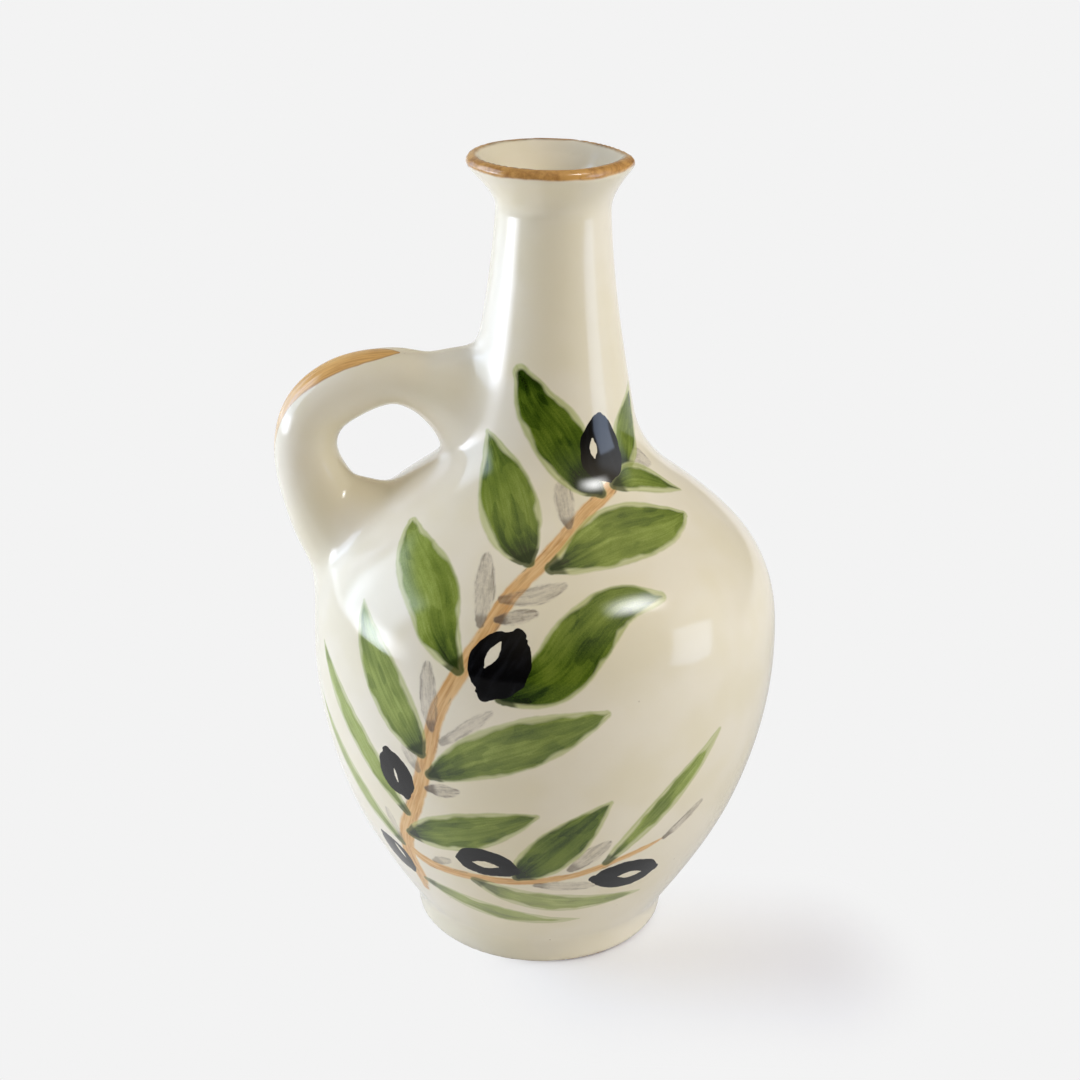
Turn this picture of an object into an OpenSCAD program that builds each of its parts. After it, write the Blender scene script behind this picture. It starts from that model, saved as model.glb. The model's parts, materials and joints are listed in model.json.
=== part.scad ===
// Olive oil dispenser: a glazed earthenware jug with a round belly, a slim neck, a lip pinched
// into a spout and a thick loop handle, painted by hand with an olive branch.
// It stands on z = 0 around the Z axis. The spout points to +X, the handle to -X, and the
// painted side faces -Y.

/* [Body] */
// Overall height, from the table to the top of the lip
height = 210; // [204:1:222]
// Radius of the flat that stands on the table
foot_r = 32; // [29:0.5:34]
// Radius at the top of the foot, where the body starts
foot_top_r = 36; // [34.5:0.5:39]
// Height of the foot
foot_h = 9.5; // [7:0.5:12]
// Radius of the rounded edge under the foot
foot_edge_r = 2; // [1:0.5:2.5]
// Largest radius of the belly
belly_r = 61; // [57:0.5:64]
// Height of the widest place of the belly
belly_z = 82; // [76:1:86]

/* [Neck and lip] */
// Height where the shoulder has turned into the neck
neck_root_z = 146; // [142:1:150]
// Radius of the neck at that height
neck_root_r = 21.5; // [20:0.5:23]
// Radius of the neck at its narrowest place, under the lip
neck_r = 14.2; // [13.4:0.2:15.4]
// Height of the flare, from the narrowest place to the top of the lip
flare_h = 13; // [11:0.5:16]
// Radius of the lip at its outer edge, where it is still round
lip_r = 21.4; // [20:0.1:22.5]
// How far the lip is pressed in on both sides of the spout's tip
pinch = 2.8; // [0:0.1:3.4]

/* [Wall] */
// Thickness of the wall of the belly
wall = 4; // [3:0.1:5]
// Thickness of the wall of the neck and the lip
lip_t = 3.5; // [3:0.1:4]
// Thickness of the floor
floor_t = 5; // [4:0.5:8]
// Radius of the round corner between floor and wall, inside
floor_corner_r = 7; // [4:0.5:9]

/* [Handle] */
// Distance from the axis to the outermost edge of the handle
handle_out = 70; // [68:0.5:74]
// Height of the top edge of the handle
handle_top = 161; // [158:0.5:163]
// Thickness of the handle, seen from the side
handle_t = 15.5; // [14:0.25:17]
// Width of the handle, from its front to its back
handle_w = 17; // [15:0.5:19]
// Width that the handle spreads to where it joins the neck and the shoulder
root_w = 25; // [21:0.5:27]
// Height of the handle's root on the neck
handle_neck_z = 147; // [145:0.5:149]
// Thickness that the root on the neck spreads to
neck_spread_t = 30; // [27:0.5:32]
// Height of the handle's root on the shoulder
handle_shoulder_z = 106; // [102:0.5:110]
// Thickness that the root on the shoulder spreads to
shoulder_spread_t = 30.5; // [28:0.5:32]

/* [Painting] */
// Height of the tip of the highest leaf
branch_h = 162; // [156:1:165]
// Width of the widest leaf
leaf_w = 15; // [12:0.5:16]
// Thickness of the painted film on the glaze
paint_t = 0.15; // [0.1:0.05:0.3]
// Height of the painted band on the lip
rim_band_h = 2.3; // [1.9:0.1:2.9]
// Width of the brush stripe on the crest of the handle
stripe_w = 9; // [6:0.5:11]
// Width of the main twig
twig_w = 3.6; // [2.5:0.1:4.5]
// Width of the side twig
side_twig_w = 2.6; // [1.8:0.1:3]
// Length of an olive
olive_l = 17.5; // [14:0.5:19]
// Width of an olive
olive_w = 13; // [10:0.5:14]
// Share of an olive's length and width that its bare highlight takes
highlight = 0.3; // [0.2:0.05:0.4]
// Width of a bud
bud_w = 4.4; // [3:0.2:5]

/* [Hidden] */
$fn = 96;
glaze_colour = "#EEE8D8";
ochre = "#C4833F";
twig_colour = "#D9A566";
leaf_green = "#5E8238";
olive_black = "#14141A";
bud_grey = "#9C928A";

// Height between two rings of the turned profile
ring_step = 2.4;
// Steps around the lip, around the handle and along each bay of a curve
lip_sides = 48;
handle_sides = 24;
bay_steps = 3;
// How deep the lip is sunk in the top of the neck, and how far its skin lies under the neck's there
lip_seat_h = 3;
lip_seat_in = 0.05;

// Heights that divide the body from the lip
waist_z = height - flare_h;
lip_round_r = lip_t / 2;
lip_slope = 0.9;
lip_lean = atan(lip_slope);
lip_centre = [lip_r - lip_round_r, height - lip_round_r];
lip_edge = lip_centre + lip_round_r * [cos(lip_lean), -sin(lip_lean)];

// The turned outline between the foot and the lip. Each station is [height, radius, slope], and
// the curve between two stations takes both slopes.
rise = neck_root_z - belly_z;
fall = (belly_r - neck_root_r) / rise;
flank_r = foot_top_r + 0.72 * (belly_r - foot_top_r);
shoulder_r = belly_r - 0.14 * (belly_r - neck_root_r);
drop_r = neck_root_r + 0.34 * (belly_r - neck_root_r);
stations = [
    [foot_edge_r, foot_r + foot_edge_r, 0.1],
    [foot_h, foot_top_r, 0.62],
    [foot_h + 0.475 * (belly_z - foot_h), flank_r, 0.35],
    [belly_z, belly_r, 0],
    [belly_z + 0.4 * rise, shoulder_r, -fall],
    [belly_z + 0.7 * rise, drop_r, -2.2 * fall],
    [neck_root_z, neck_root_r, -0.2],
    [waist_z, neck_r, -0.05],
    [lip_edge.y, lip_edge.x, lip_slope]
];

function blend(a, b, z) =
    let (h = b[0] - a[0], t = (z - a[0]) / h)
    (2 * t ^ 3 - 3 * t ^ 2 + 1) * a[1] + (t ^ 3 - 2 * t ^ 2 + t) * h * a[2]
    + (3 * t ^ 2 - 2 * t ^ 3) * b[1] + (t ^ 3 - t ^ 2) * h * b[2];
function blend_slope(a, b, z) =
    let (h = b[0] - a[0], t = (z - a[0]) / h)
    6 * (t - t ^ 2) * (b[1] - a[1]) / h + (3 * t ^ 2 - 4 * t + 1) * a[2] + (3 * t ^ 2 - 2 * t) * b[2];
function bay_at(z, i = 0) = i >= len(stations) - 2 || z < stations[i + 1][0] ? i : bay_at(z, i + 1);

// Radius and slope of the glazed outside, and radius of the inside, at a height
function outer_r(z) = let (i = bay_at(z)) blend(stations[i], stations[i + 1], z);
function outer_slope(z) = let (i = bay_at(z)) blend_slope(stations[i], stations[i + 1], z);
function wall_at(z) =
    let (t = max(0, min(1, (z - belly_z) / rise)))
    wall + (lip_t - wall) * t;
function inner_r(z) = outer_r(z) - wall_at(z) * sqrt(1 + outer_slope(z) ^ 2);

// Heights from one value to another in even steps no longer than ring_step
function heights(a, b) = let (n = ceil(abs(b - a) / ring_step)) [for (i = [0 : n]) a + (b - a) * i / n];
outside_heights = [
    for (i = [0 : len(stations) - 3])
        each [for (z = heights(stations[i][0], stations[i + 1][0])) if (z < stations[i + 1][0] - 0.01) z]
];

// A smooth curve through hand-placed rows of numbers: bay i, place t in it
function through(p, i, t) =
    let (
        n = len(p) - 1,
        a = i > 0 ? p[i - 1] : 2 * p[0] - p[1],
        b = p[i],
        c = p[i + 1],
        d = i < n - 1 ? p[i + 2] : 2 * p[n] - p[n - 1]
    )
    0.5 * (2 * b + (c - a) * t + (2 * a - 5 * b + 4 * c - d) * t ^ 2 + (3 * b - 3 * c + d - a) * t ^ 3);
function curve(p, steps) = [
    for (i = [0 : len(p) - 2]) each [for (k = [0 : steps - 1]) through(p, i, k / steps)],
    p[len(p) - 1]
];

// Triangles of a grid of points: rows of m points, each row joined to the next
function grid(rows, m, wrap_m, wrap_n) = [
    for (i = [0 : rows - (wrap_n ? 1 : 2)])
        for (j = [0 : m - (wrap_m ? 1 : 2)])
            let (
                a = i * m + j,
                b = i * m + (j + 1) % m,
                c = ((i + 1) % rows) * m + (j + 1) % m,
                d = ((i + 1) % rows) * m + j
            )
            each [[a, b, c], [a, c, d]]
];

// A solid bar through a list of rings, closed by flat ends
module bar(rings) {
    m = len(rings[0]);
    n = len(rings);
    first = [for (j = [m - 1 : -1 : 0]) j];
    last = [for (j = [0 : m - 1]) (n - 1) * m + j];
    polyhedron([for (r = rings) each r], concat(grid(n, m, true, false), [first, last]), convexity = 6);
}

// A closed band: the last ring is joined to the first
module band(rings) {
    polyhedron([for (r = rings) each r], grid(len(rings), len(rings[0]), true, true), convexity = 6);
}

// A sheet of paint between two equal grids of points, the lower on the glaze
module sheet(lower, upper) {
    bar([for (i = [0 : len(lower) - 1]) concat(lower[i], [for (j = [len(upper[i]) - 1 : -1 : 0]) upper[i][j]])]);
}

// Places on the belly. An azimuth of 0 faces -Y and grows towards the spout; lift is the
// distance outwards from the glaze.
function on_glaze(az, z, lift) =
    let (s = outer_slope(z), q = sqrt(1 + s ^ 2), r = outer_r(z) + lift / q)
    [r * sin(az), -r * cos(az), z - lift * s / q];
// Millimetres on the glaze turned into azimuth and height, and back
function deg_per_mm(z) = 180 / (PI * outer_r(z));
function rise_per_mm(z) = 1 / sqrt(1 + outer_slope(z) ^ 2);
function shift(p, u, v) = [p[0] + u * deg_per_mm(p[1]), p[1] + v * rise_per_mm(p[1])];
function mm_between(p, q) =
    let (m = (p + q) / 2)
    [(q[0] - p[0]) / deg_per_mm(m[1]), (q[1] - p[1]) / rise_per_mm(m[1])];

// Across a brush stroke: places at both sides of each point of its middle line, as shares of its
// half width. The film's flat facets clear the round glaze by paint_gap.
broad = [-1, -0.5, 0, 0.5, 1];
narrow = [-1, 0, 1];
paint_gap = 0.1;
function stroke_rows(line, halves, columns) = [
    for (i = [0 : len(line) - 1])
        let (
            d = mm_between(line[max(0, i - 1)], line[min(len(line) - 1, i + 1)]),
            n = [d[1], -d[0]] / norm(d)
        )
        [for (c = columns) shift(line[i], n[0] * halves[i] * c, n[1] * halves[i] * c)]
];
module stroke(line, halves, columns) {
    rows = stroke_rows(line, halves, columns);
    sheet(
        [for (r = rows) [for (p = r) on_glaze(p[0], p[1], paint_gap)]],
        [for (r = rows) [for (p = r) on_glaze(p[0], p[1], paint_gap + paint_t)]]
    );
}

// Half the width of a leaf along its length: a narrow stalk end, full before the middle, a fine tip
leaf_steps = 12;
stroke_tip = 0.4;
function leaf_half(w, s) = stroke_tip + (w / 2 - stroke_tip) * sin(180 * s ^ 0.85) ^ 0.8;
function bend_through(a, b, c, s) =
    let (k = 2 * b - (a + c) / 2)
    (1 - s) ^ 2 * a + 2 * s * (1 - s) * k + s ^ 2 * c;

// Places of the painting: azimuth in degrees and height in hundredths of branch_h
function placed(p) = [p[0], p[1] * branch_h / 100];

// Leaves: places of the stalk end, the middle and the tip, then the width as a share of leaf_w
leaf_rows = [
    [[23, 83.5], [3, 91.5], [-23, 99.5], 0.83],
    [[49, 85], [61, 89], [80, 92.5], 0.53],
    [[40, 82], [58, 82], [76, 78.5], 0.5],
    [[-8, 75.5], [-20, 81.5], [-43, 89], 0.87],
    [[5, 74], [28, 77], [63, 77], 1],
    [[-21, 61.5], [-31, 69], [-55, 76], 1],
    [[-5, 58.5], [8, 65], [32, 70], 0.97],
    [[-30, 47], [-38, 55], [-50, 63], 0.83],
    [[-24, 43], [-5, 50], [14, 55], 0.87],
    [[-43, 36], [-52, 44.5], [-67, 55.5], 0.53],
    [[-47, 27], [-57, 35], [-71, 45.5], 0.43],
    [[-33, 30], [-17, 33.5], [-1, 37.5], 0.83],
    [[-2, 26.5], [7, 32], [17, 39.5], 0.83],
    [[21, 29.5], [32, 37.5], [46, 47.5], 0.47],
    [[-37, 16.5], [-16, 13.5], [14, 12], 0.43],
    [[-17, 20], [5, 17.5], [34, 16.5], 0.47]
];

// Olives: place of the middle, and the tilt of the long axis from level
olive_rows = [
    [33, 87.5, 80],
    [-10.5, 62.5, 55],
    [-37.5, 40.5, 105],
    [-50.5, 21.5, 125],
    [-13.5, 26, 5],
    [25.5, 22.5, -8]
];
olive_sides = 20;

// Buds: places of the stalk end and the tip, and the width as a share of bud_w
bud_rows = [
    [[6.5, 79.5], [7.5, 84], 1.1],
    [[-16.5, 69.5], [-19.5, 74.5], 1.2],
    [[-6.5, 70.5], [5, 72], 1.1],
    [[0.5, 68], [7.5, 69], 0.8],
    [[-28.5, 52], [-29, 60.5], 1.2],
    [[-21, 49.5], [-11.5, 55], 0.8],
    [[-24, 39.5], [-18.5, 40.5], 0.8],
    [[10, 25.5], [17.5, 30.5], 1.2],
    [[-1, 22], [15, 20.5], 0.8],
    [[35.5, 30], [45, 34], 0.7],
    [[54, 85], [66, 84.5], 0.8]
];

// Twigs: places along the middle line
main_twig = [
    [31, 81.5], [19.5, 80], [9, 78], [-5, 73.5], [-13, 68], [-19.5, 61],
    [-24.5, 53.5], [-28, 44.5], [-34, 33.5], [-39.5, 25.5], [-40.5, 18]
];
side_twig = [[-37, 23.5], [-30, 22], [-18, 22], [-4, 22], [10, 24.5], [22, 27.5], [34, 29.5]];

// Handle: [x, z, thickness, width] of its section from the neck round to the shoulder
crest_z = handle_top - handle_t / 2;
out_x = -(handle_out - handle_t / 2);
neck_x = -outer_r(handle_neck_z);
shoulder_x = -outer_r(handle_shoulder_z);
loop_reach = neck_x - out_x;
loop_drop = crest_z - handle_shoulder_z;
handle_rows = [
    [neck_x + 0.28 * loop_reach, handle_neck_z - 0.1 * loop_drop, neck_spread_t, root_w],
    [neck_x + 0.12 * loop_reach, handle_neck_z - 0.03 * loop_drop, 0.93 * neck_spread_t, root_w],
    [neck_x - 0.01 * loop_reach, handle_neck_z + 0.04 * loop_drop, 0.78 * neck_spread_t, 0.92 * root_w],
    [neck_x - 0.23 * loop_reach, crest_z - 0.04 * loop_drop, handle_t, 1.08 * handle_w],
    [neck_x - 0.46 * loop_reach, crest_z, 0.9 * handle_t, handle_w],
    [out_x + 0.255 * loop_reach, crest_z - 0.075 * loop_drop, 1.03 * handle_t, handle_w],
    [out_x + 0.05 * loop_reach, crest_z - 0.23 * loop_drop, 1.03 * handle_t, handle_w],
    [out_x, crest_z - 0.475 * loop_drop, 1.06 * handle_t, handle_w],
    [shoulder_x, handle_shoulder_z + 0.22 * loop_drop, 0.7 * shoulder_spread_t, 0.85 * root_w],
    [shoulder_x + 0.21 * loop_reach, handle_shoulder_z + 0.05 * loop_drop, shoulder_spread_t, root_w],
    [shoulder_x + 0.35 * loop_reach, handle_shoulder_z - 0.23 * loop_drop, shoulder_spread_t, root_w]
];
handle_line = curve(handle_rows, bay_steps);

// A point of the handle's skin: row i of the handle line, angle a around it with 0 on the
// outside of the loop, and lift the distance outwards from the glaze
function handle_point(i, a, lift) =
    let (
        p = handle_line[i],
        u = handle_line[max(0, i - 1)],
        w = handle_line[min(len(handle_line) - 1, i + 1)],
        d = [w[0] - u[0], w[1] - u[1]] / norm([w[0] - u[0], w[1] - u[1]]),
        out = (p[2] / 2 + lift) * cos(a)
    )
    [p[0] + d[1] * out, (p[3] / 2 + lift) * sin(a), p[1] - d[0] * out];

// The lip's outline in the plane of the axis: up the outside, over the round edge, down the inside
lip_outside = [for (z = heights(waist_z - lip_seat_h, lip_edge.y)) if (z < lip_edge.y - 0.01) [outer_r(z), z]];
round_steps = 3;
function lip_arc(r, from, to) = [
    for (k = [0 : round_steps])
        let (a = from + (to - from) * k / round_steps)
        lip_centre + r * [cos(a), sin(a)]
];
// The round edge in two halves, so that one of its points is the top of the lip
function lip_round(r, from, to) = concat(
    [for (k = [0 : round_steps - 1]) lip_arc(r, from, 90)[k]],
    lip_arc(r, 90, to)
);
lip_inside = [
    for (z = heights(lip_edge.y, waist_z - lip_seat_h))
        if (z < lip_edge.y - 0.01)
            [inner_r(z), z]
];
// The skin at the seat lies just inside the neck's own skin
function seated(p, sign) = p.y < waist_z ? [p.x + sign * lip_seat_in, p.y] : p;
lip_outline = concat(
    [for (p = lip_outside) seated(p, -1)],
    lip_round(lip_round_r, -lip_lean, 180 - lip_lean),
    [for (p = lip_inside) seated(p, 1)]
);

// How far the lip is pressed in at an azimuth from the spout's tip, and the share that reaches a
// height. The two presses meet at the tip in a slight edge.
press_at = 28;
press_half = 75;
function pressed(az) = pinch * (1 + cos(180 * min(1, (abs(az) - press_at) / press_half))) / 2;
function press_share(z) =
    let (t = max(0, min(1, (z - waist_z) / (height - waist_z))))
    t ^ 2 * (3 - 2 * t);
function lip_ring(az, outline) = [
    for (p = outline)
        let (r = p.x - pressed(az) * press_share(p.y))
        [r * cos(az), r * sin(az), p.y]
];
function around_lip(outline) = [
    for (i = [0 : lip_sides - 1])
        let (az = 360 * i / lip_sides)
        lip_ring(az > 180 ? az - 360 : az, outline)
];

// The clay outside, from the foot to the top of the neck, turned as a full body
module turned_outside() {
    foot_side = [for (a = [-90 : 22.5 : -22.5]) [foot_r + foot_edge_r * cos(a), foot_edge_r * (1 + sin(a))]];
    rotate_extrude()
        polygon(concat(
            [[0, 0]],
            foot_side,
            [for (z = outside_heights) [outer_r(z), z]],
            [[outer_r(waist_z), waist_z], [0, waist_z]]
        ));
}

// The hollow, with a rounded corner above the floor, open at the top of the neck
module turned_hollow() {
    corner_z = floor_t + floor_corner_r;
    corner_x = inner_r(corner_z) - floor_corner_r;
    corner = [for (a = [-90 : 15 : 0]) [corner_x + floor_corner_r * cos(a), corner_z + floor_corner_r * sin(a)]];
    rotate_extrude()
        polygon(concat(
            [[0, floor_t]],
            corner,
            [for (z = outside_heights) if (z > corner_z + 1) [inner_r(z), z]],
            [[inner_r(waist_z), waist_z], [inner_r(waist_z), waist_z + 1], [0, waist_z + 1]]
        ));
}

module handle_bar() {
    bar([
        for (i = [0 : len(handle_line) - 1])
            [for (k = [0 : handle_sides - 1]) handle_point(i, -360 * k / handle_sides, 0)]
    ]);
}

module jug() {
    color(glaze_colour) {
        difference() {
            union() {
                turned_outside();
                handle_bar();
            }
            turned_hollow();
        }
        band(around_lip(lip_outline));
    }
}

module rim_paint() {
    band_from = asin(max(-1, (height - rim_band_h - lip_centre.y) / lip_round_r));
    band_to = 150;
    color(ochre)
        band(around_lip(concat(
            lip_round(lip_round_r + paint_gap, band_to, band_from),
            lip_round(lip_round_r + paint_gap + paint_t, band_from, band_to)
        )));
}

module handle_paint() {
    // The stripe runs over the crest of the loop, and both ends come to a point
    from = 4 * bay_steps - 1;
    to = 7 * bay_steps;
    function reach(i) = 0.5 + (stripe_w / 2 - 0.5) * sin(180 * (i - from) / (to - from)) ^ 0.6;
    function angles(i) = [for (c = broad) 2 * asin(reach(i) * c / handle_line[i][3])];
    color(twig_colour)
        sheet(
            [for (i = [from : to]) [for (a = angles(i)) handle_point(i, a, paint_gap)]],
            [for (i = [from : to]) [for (a = angles(i)) handle_point(i, a, paint_gap + paint_t)]]
        );
}

module leaves() {
    color(leaf_green)
        for (l = leaf_rows)
            stroke(
                [for (k = [0 : leaf_steps]) placed(bend_through(l[0], l[1], l[2], k / leaf_steps))],
                [for (k = [0 : leaf_steps]) leaf_half(l[3] * leaf_w, k / leaf_steps)],
                broad
            );
}

module twigs() {
    twig_steps = 4;
    color(twig_colour) {
        for (t = [[main_twig, twig_w], [side_twig, side_twig_w]]) {
            line = [for (p = curve(t[0], twig_steps)) placed(p)];
            stroke(line, [for (p = line) t[1] / 2], narrow);
        }
    }
}

module olives() {
    // A round dab of paint with a small bare highlight in it
    function dab(o, size, a, lift) =
        let (
            u = size * olive_l / 2 * cos(a),
            v = size * olive_w / 2 * sin(a),
            p = shift(placed([o[0], o[1]]), u * cos(o[2]) - v * sin(o[2]), u * sin(o[2]) + v * cos(o[2]))
        )
        on_glaze(p[0], p[1], lift);
    sizes = [highlight, (1 + highlight) / 2, 1];
    color(olive_black)
        for (o = olive_rows)
            band([
                for (k = [0 : olive_sides - 1])
                    let (a = 360 * k / olive_sides)
                    concat(
                        [for (s = [0 : 2]) dab(o, sizes[s], a, paint_gap)],
                        [for (s = [2 : -1 : 0]) dab(o, sizes[s], a, paint_gap + paint_t)]
                    )
            ]);
}

module buds() {
    bud_steps = 5;
    color(bud_grey)
        for (b = bud_rows)
            stroke(
                [for (k = [0 : bud_steps]) placed(b[0] + (b[1] - b[0]) * k / bud_steps)],
                [for (k = [0 : bud_steps]) leaf_half(bud_w * b[2], k / bud_steps)],
                narrow
            );
}

jug();
rim_paint();
handle_paint();
leaves();
twigs();
olives();
buds();
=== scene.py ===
# %% [markdown]
# # A hand-painted oil jug
# The real jug is thrown on a wheel in pale earthenware. The potter pinches its lip into a spout,
# presses on a thick loop handle, paints an olive branch on the raw glaze, and fires all of it
# under one glossy cream coat. So there is only one smooth surface: handle and body flow into
# each other, and the paint has no height of its own. We build it in that order: turn the body,
# add the handle, melt both into one skin, paint on that skin, and light it softly.

# %% Load the CAD model as the frame
import json
import math

import bpy
import numpy as np
from mathutils import Matrix, Quaternion, Vector

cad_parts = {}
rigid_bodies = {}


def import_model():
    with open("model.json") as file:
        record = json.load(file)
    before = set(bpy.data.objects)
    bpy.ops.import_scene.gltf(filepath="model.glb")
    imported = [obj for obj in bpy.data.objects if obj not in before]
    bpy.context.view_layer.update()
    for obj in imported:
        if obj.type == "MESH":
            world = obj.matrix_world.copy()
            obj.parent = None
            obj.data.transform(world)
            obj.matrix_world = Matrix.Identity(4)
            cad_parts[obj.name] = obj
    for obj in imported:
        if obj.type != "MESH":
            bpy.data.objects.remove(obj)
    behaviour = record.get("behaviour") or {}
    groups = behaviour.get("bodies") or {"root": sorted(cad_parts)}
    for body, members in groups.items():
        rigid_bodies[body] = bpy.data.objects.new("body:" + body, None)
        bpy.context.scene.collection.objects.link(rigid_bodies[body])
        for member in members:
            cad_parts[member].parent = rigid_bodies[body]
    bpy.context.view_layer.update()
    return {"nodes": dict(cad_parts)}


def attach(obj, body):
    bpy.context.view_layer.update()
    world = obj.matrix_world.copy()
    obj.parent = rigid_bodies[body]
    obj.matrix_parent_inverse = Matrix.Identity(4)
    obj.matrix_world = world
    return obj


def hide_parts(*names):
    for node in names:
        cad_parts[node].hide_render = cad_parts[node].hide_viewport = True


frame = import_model()
bpy.ops.object.select_all(action="DESELECT")
MM = 0.001
print("CAD nodes:", ", ".join(sorted(frame["nodes"])))

# %% [markdown]
# ## The camera first
# The jug was looked at from in front and a little above, with a short telephoto lens. Three
# directions that stand square on each other place a camera exactly: where it looks, what is
# right, and what is up. A very small roll levels the table.

# %% Set the camera
PITCH, YAW, ROLL = 0.3995, -0.0038, 0.0192
LENS = 62.2
CAMERA_PLACE = (0, -0.4503, 0.299)
flat, fall = math.cos(PITCH), math.sin(PITCH)
look = Vector((math.sin(YAW) * flat, math.cos(YAW) * flat, -fall))
level = Vector((math.cos(YAW), -math.sin(YAW), 0))
above = level.cross(look)
right = math.cos(ROLL) * level + math.sin(ROLL) * above
up = -math.sin(ROLL) * level + math.cos(ROLL) * above
camera_data = bpy.data.cameras.new("camera")
camera_data.lens = LENS
camera = bpy.data.objects.new("camera", camera_data)
bpy.context.scene.collection.objects.link(camera)
aimed = Matrix((right, up, -look)).transposed().to_4x4()
camera.matrix_world = Matrix.Translation(CAMERA_PLACE) @ aimed
bpy.context.scene.camera = camera
print("camera at", tuple(round(v, 3) for v in camera.location), "lens", camera_data.lens)

# %% [markdown]
# ## The outline of the turned clay
# A pot on a wheel is one outline turned round an axis. We know radius and slope at a few heights,
# the same ones as in the CAD model, and a Hermite curve joins them without a kink. Numbers are in
# millimetres here, and only the finished mesh is scaled to metres.

# %% Sizes of the jug, in millimetres
HEIGHT, FLARE_H = 210.0, 13.0
FOOT_R, FOOT_EDGE, FOOT_TOP_R, FOOT_H = 32.0, 2.0, 36.0, 9.5
BELLY_R, BELLY_Z, NECK_ROOT_R, NECK_ROOT_Z, NECK_R = 61.0, 82.0, 21.5, 146.0, 14.2
LIP_R, LIP_T, WALL, FLOOR_T, CORNER_R, PINCH = 21.4, 3.5, 4.0, 5.0, 7.0, 2.8
LIP_SLOPE = 0.9
LEAN = math.atan(LIP_SLOPE)
WAIST_Z = HEIGHT - FLARE_H
LIP_ROUND = LIP_T / 2
LIP_CENTRE = np.array((LIP_R - LIP_ROUND, HEIGHT - LIP_ROUND))
LIP_EDGE = LIP_CENTRE + LIP_ROUND * np.array((math.cos(LEAN), -math.sin(LEAN)))
RISE = NECK_ROOT_Z - BELLY_Z
FALL = (BELLY_R - NECK_ROOT_R) / RISE
print("height", HEIGHT, "mm, lip", 2 * LIP_R, "mm across")

# %% Stations of the outline: height, radius, slope
STATIONS = np.array([
    (FOOT_EDGE, FOOT_R + FOOT_EDGE, 0.1),
    (FOOT_H, FOOT_TOP_R, 0.62),
    (FOOT_H + 0.475 * (BELLY_Z - FOOT_H), FOOT_TOP_R + 0.72 * (BELLY_R - FOOT_TOP_R), 0.35),
    (BELLY_Z, BELLY_R, 0.0),
    (BELLY_Z + 0.4 * RISE, BELLY_R - 0.14 * (BELLY_R - NECK_ROOT_R), -FALL),
    (BELLY_Z + 0.7 * RISE, NECK_ROOT_R + 0.34 * (BELLY_R - NECK_ROOT_R), -2.2 * FALL),
    (NECK_ROOT_Z, NECK_ROOT_R, -0.2),
    (WAIST_Z, NECK_R, -0.05),
    (LIP_EDGE[1], LIP_EDGE[0], LIP_SLOPE),
])


def outside(z):
    """Radius and slope of the glazed outside at heights z."""
    z = np.asarray(z, float)
    low, high = STATIONS[0, 0], STATIONS[-1, 0]
    c = np.clip(z, low, high)
    i = np.clip(np.searchsorted(STATIONS[:, 0], c, side="right") - 1, 0, len(STATIONS) - 2)
    (z0, r0, s0), (z1, r1, s1) = STATIONS[i].T, STATIONS[i + 1].T
    h = z1 - z0
    t = (c - z0) / h
    r = (2 * t**3 - 3 * t**2 + 1) * r0 + (t**3 - 2 * t**2 + t) * h * s0
    r = r + (3 * t**2 - 2 * t**3) * r1 + (t**3 - t**2) * h * s1
    slope = 6 * (t - t**2) * (r1 - r0) / h
    slope = slope + (3 * t**2 - 4 * t + 1) * s0 + (3 * t**2 - 2 * t) * s1
    return r + (z - c) * slope, slope


def inside_r(z):
    """Radius of the hollow: the wall's thickness is measured square to the outside."""
    r, slope = outside(z)
    wall = WALL + (LIP_T - WALL) * np.clip((np.asarray(z) - BELLY_Z) / RISE, 0, 1)
    return r - wall * np.sqrt(1 + slope**2)


belly_mm, neck_mm = (round(2 * float(outside(z)[0]), 1) for z in (BELLY_Z, WAIST_Z))
print("belly", belly_mm, "mm, neck", neck_mm, "mm across")

# %% [markdown]
# ## Turning a profile with Spin
# The quickest way to a turned solid is the potter's own: draw half of the section and spin it.
# A plane is merged to a single point, the point is extruded along the outline, and Spin carries
# the line once round the axis. Ends that lie on the axis close by themselves when doubles merge.
# The hollow is a second solid. Its wall stops just under the lip's round edge, and from there it
# stands out of the mouth, so that it cuts clean through.

# %% Turn the full body from its outline
SPIN_STEPS = 96
WELD = 0.01 * MM


def turned(name, outline):
    """A closed solid of revolution through (radius, height) points in millimetres."""
    (r0, z0), rest = outline[0], outline[1:]
    bpy.ops.mesh.primitive_plane_add(size=MM, location=(r0 * MM, 0, z0 * MM))
    solid = bpy.context.object
    solid.name = name
    bpy.ops.object.transform_apply(location=True)
    bpy.ops.object.mode_set(mode="EDIT")
    bpy.ops.mesh.merge(type="CENTER")
    here = (r0, z0)
    for r, z in rest:
        step = ((r - here[0]) * MM, 0, (z - here[1]) * MM)
        bpy.ops.mesh.extrude_region_move(TRANSFORM_OT_translate={"value": step})
        here = (r, z)
    bpy.ops.mesh.select_all(action="SELECT")
    bpy.ops.mesh.spin(steps=SPIN_STEPS, angle=2 * math.pi, center=(0, 0, 0), axis=(0, 0, 1))
    bpy.ops.mesh.select_all(action="SELECT")
    bpy.ops.mesh.remove_doubles(threshold=WELD)
    bpy.ops.mesh.normals_make_consistent(inside=False)
    bpy.ops.object.mode_set(mode="OBJECT")
    return solid


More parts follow.
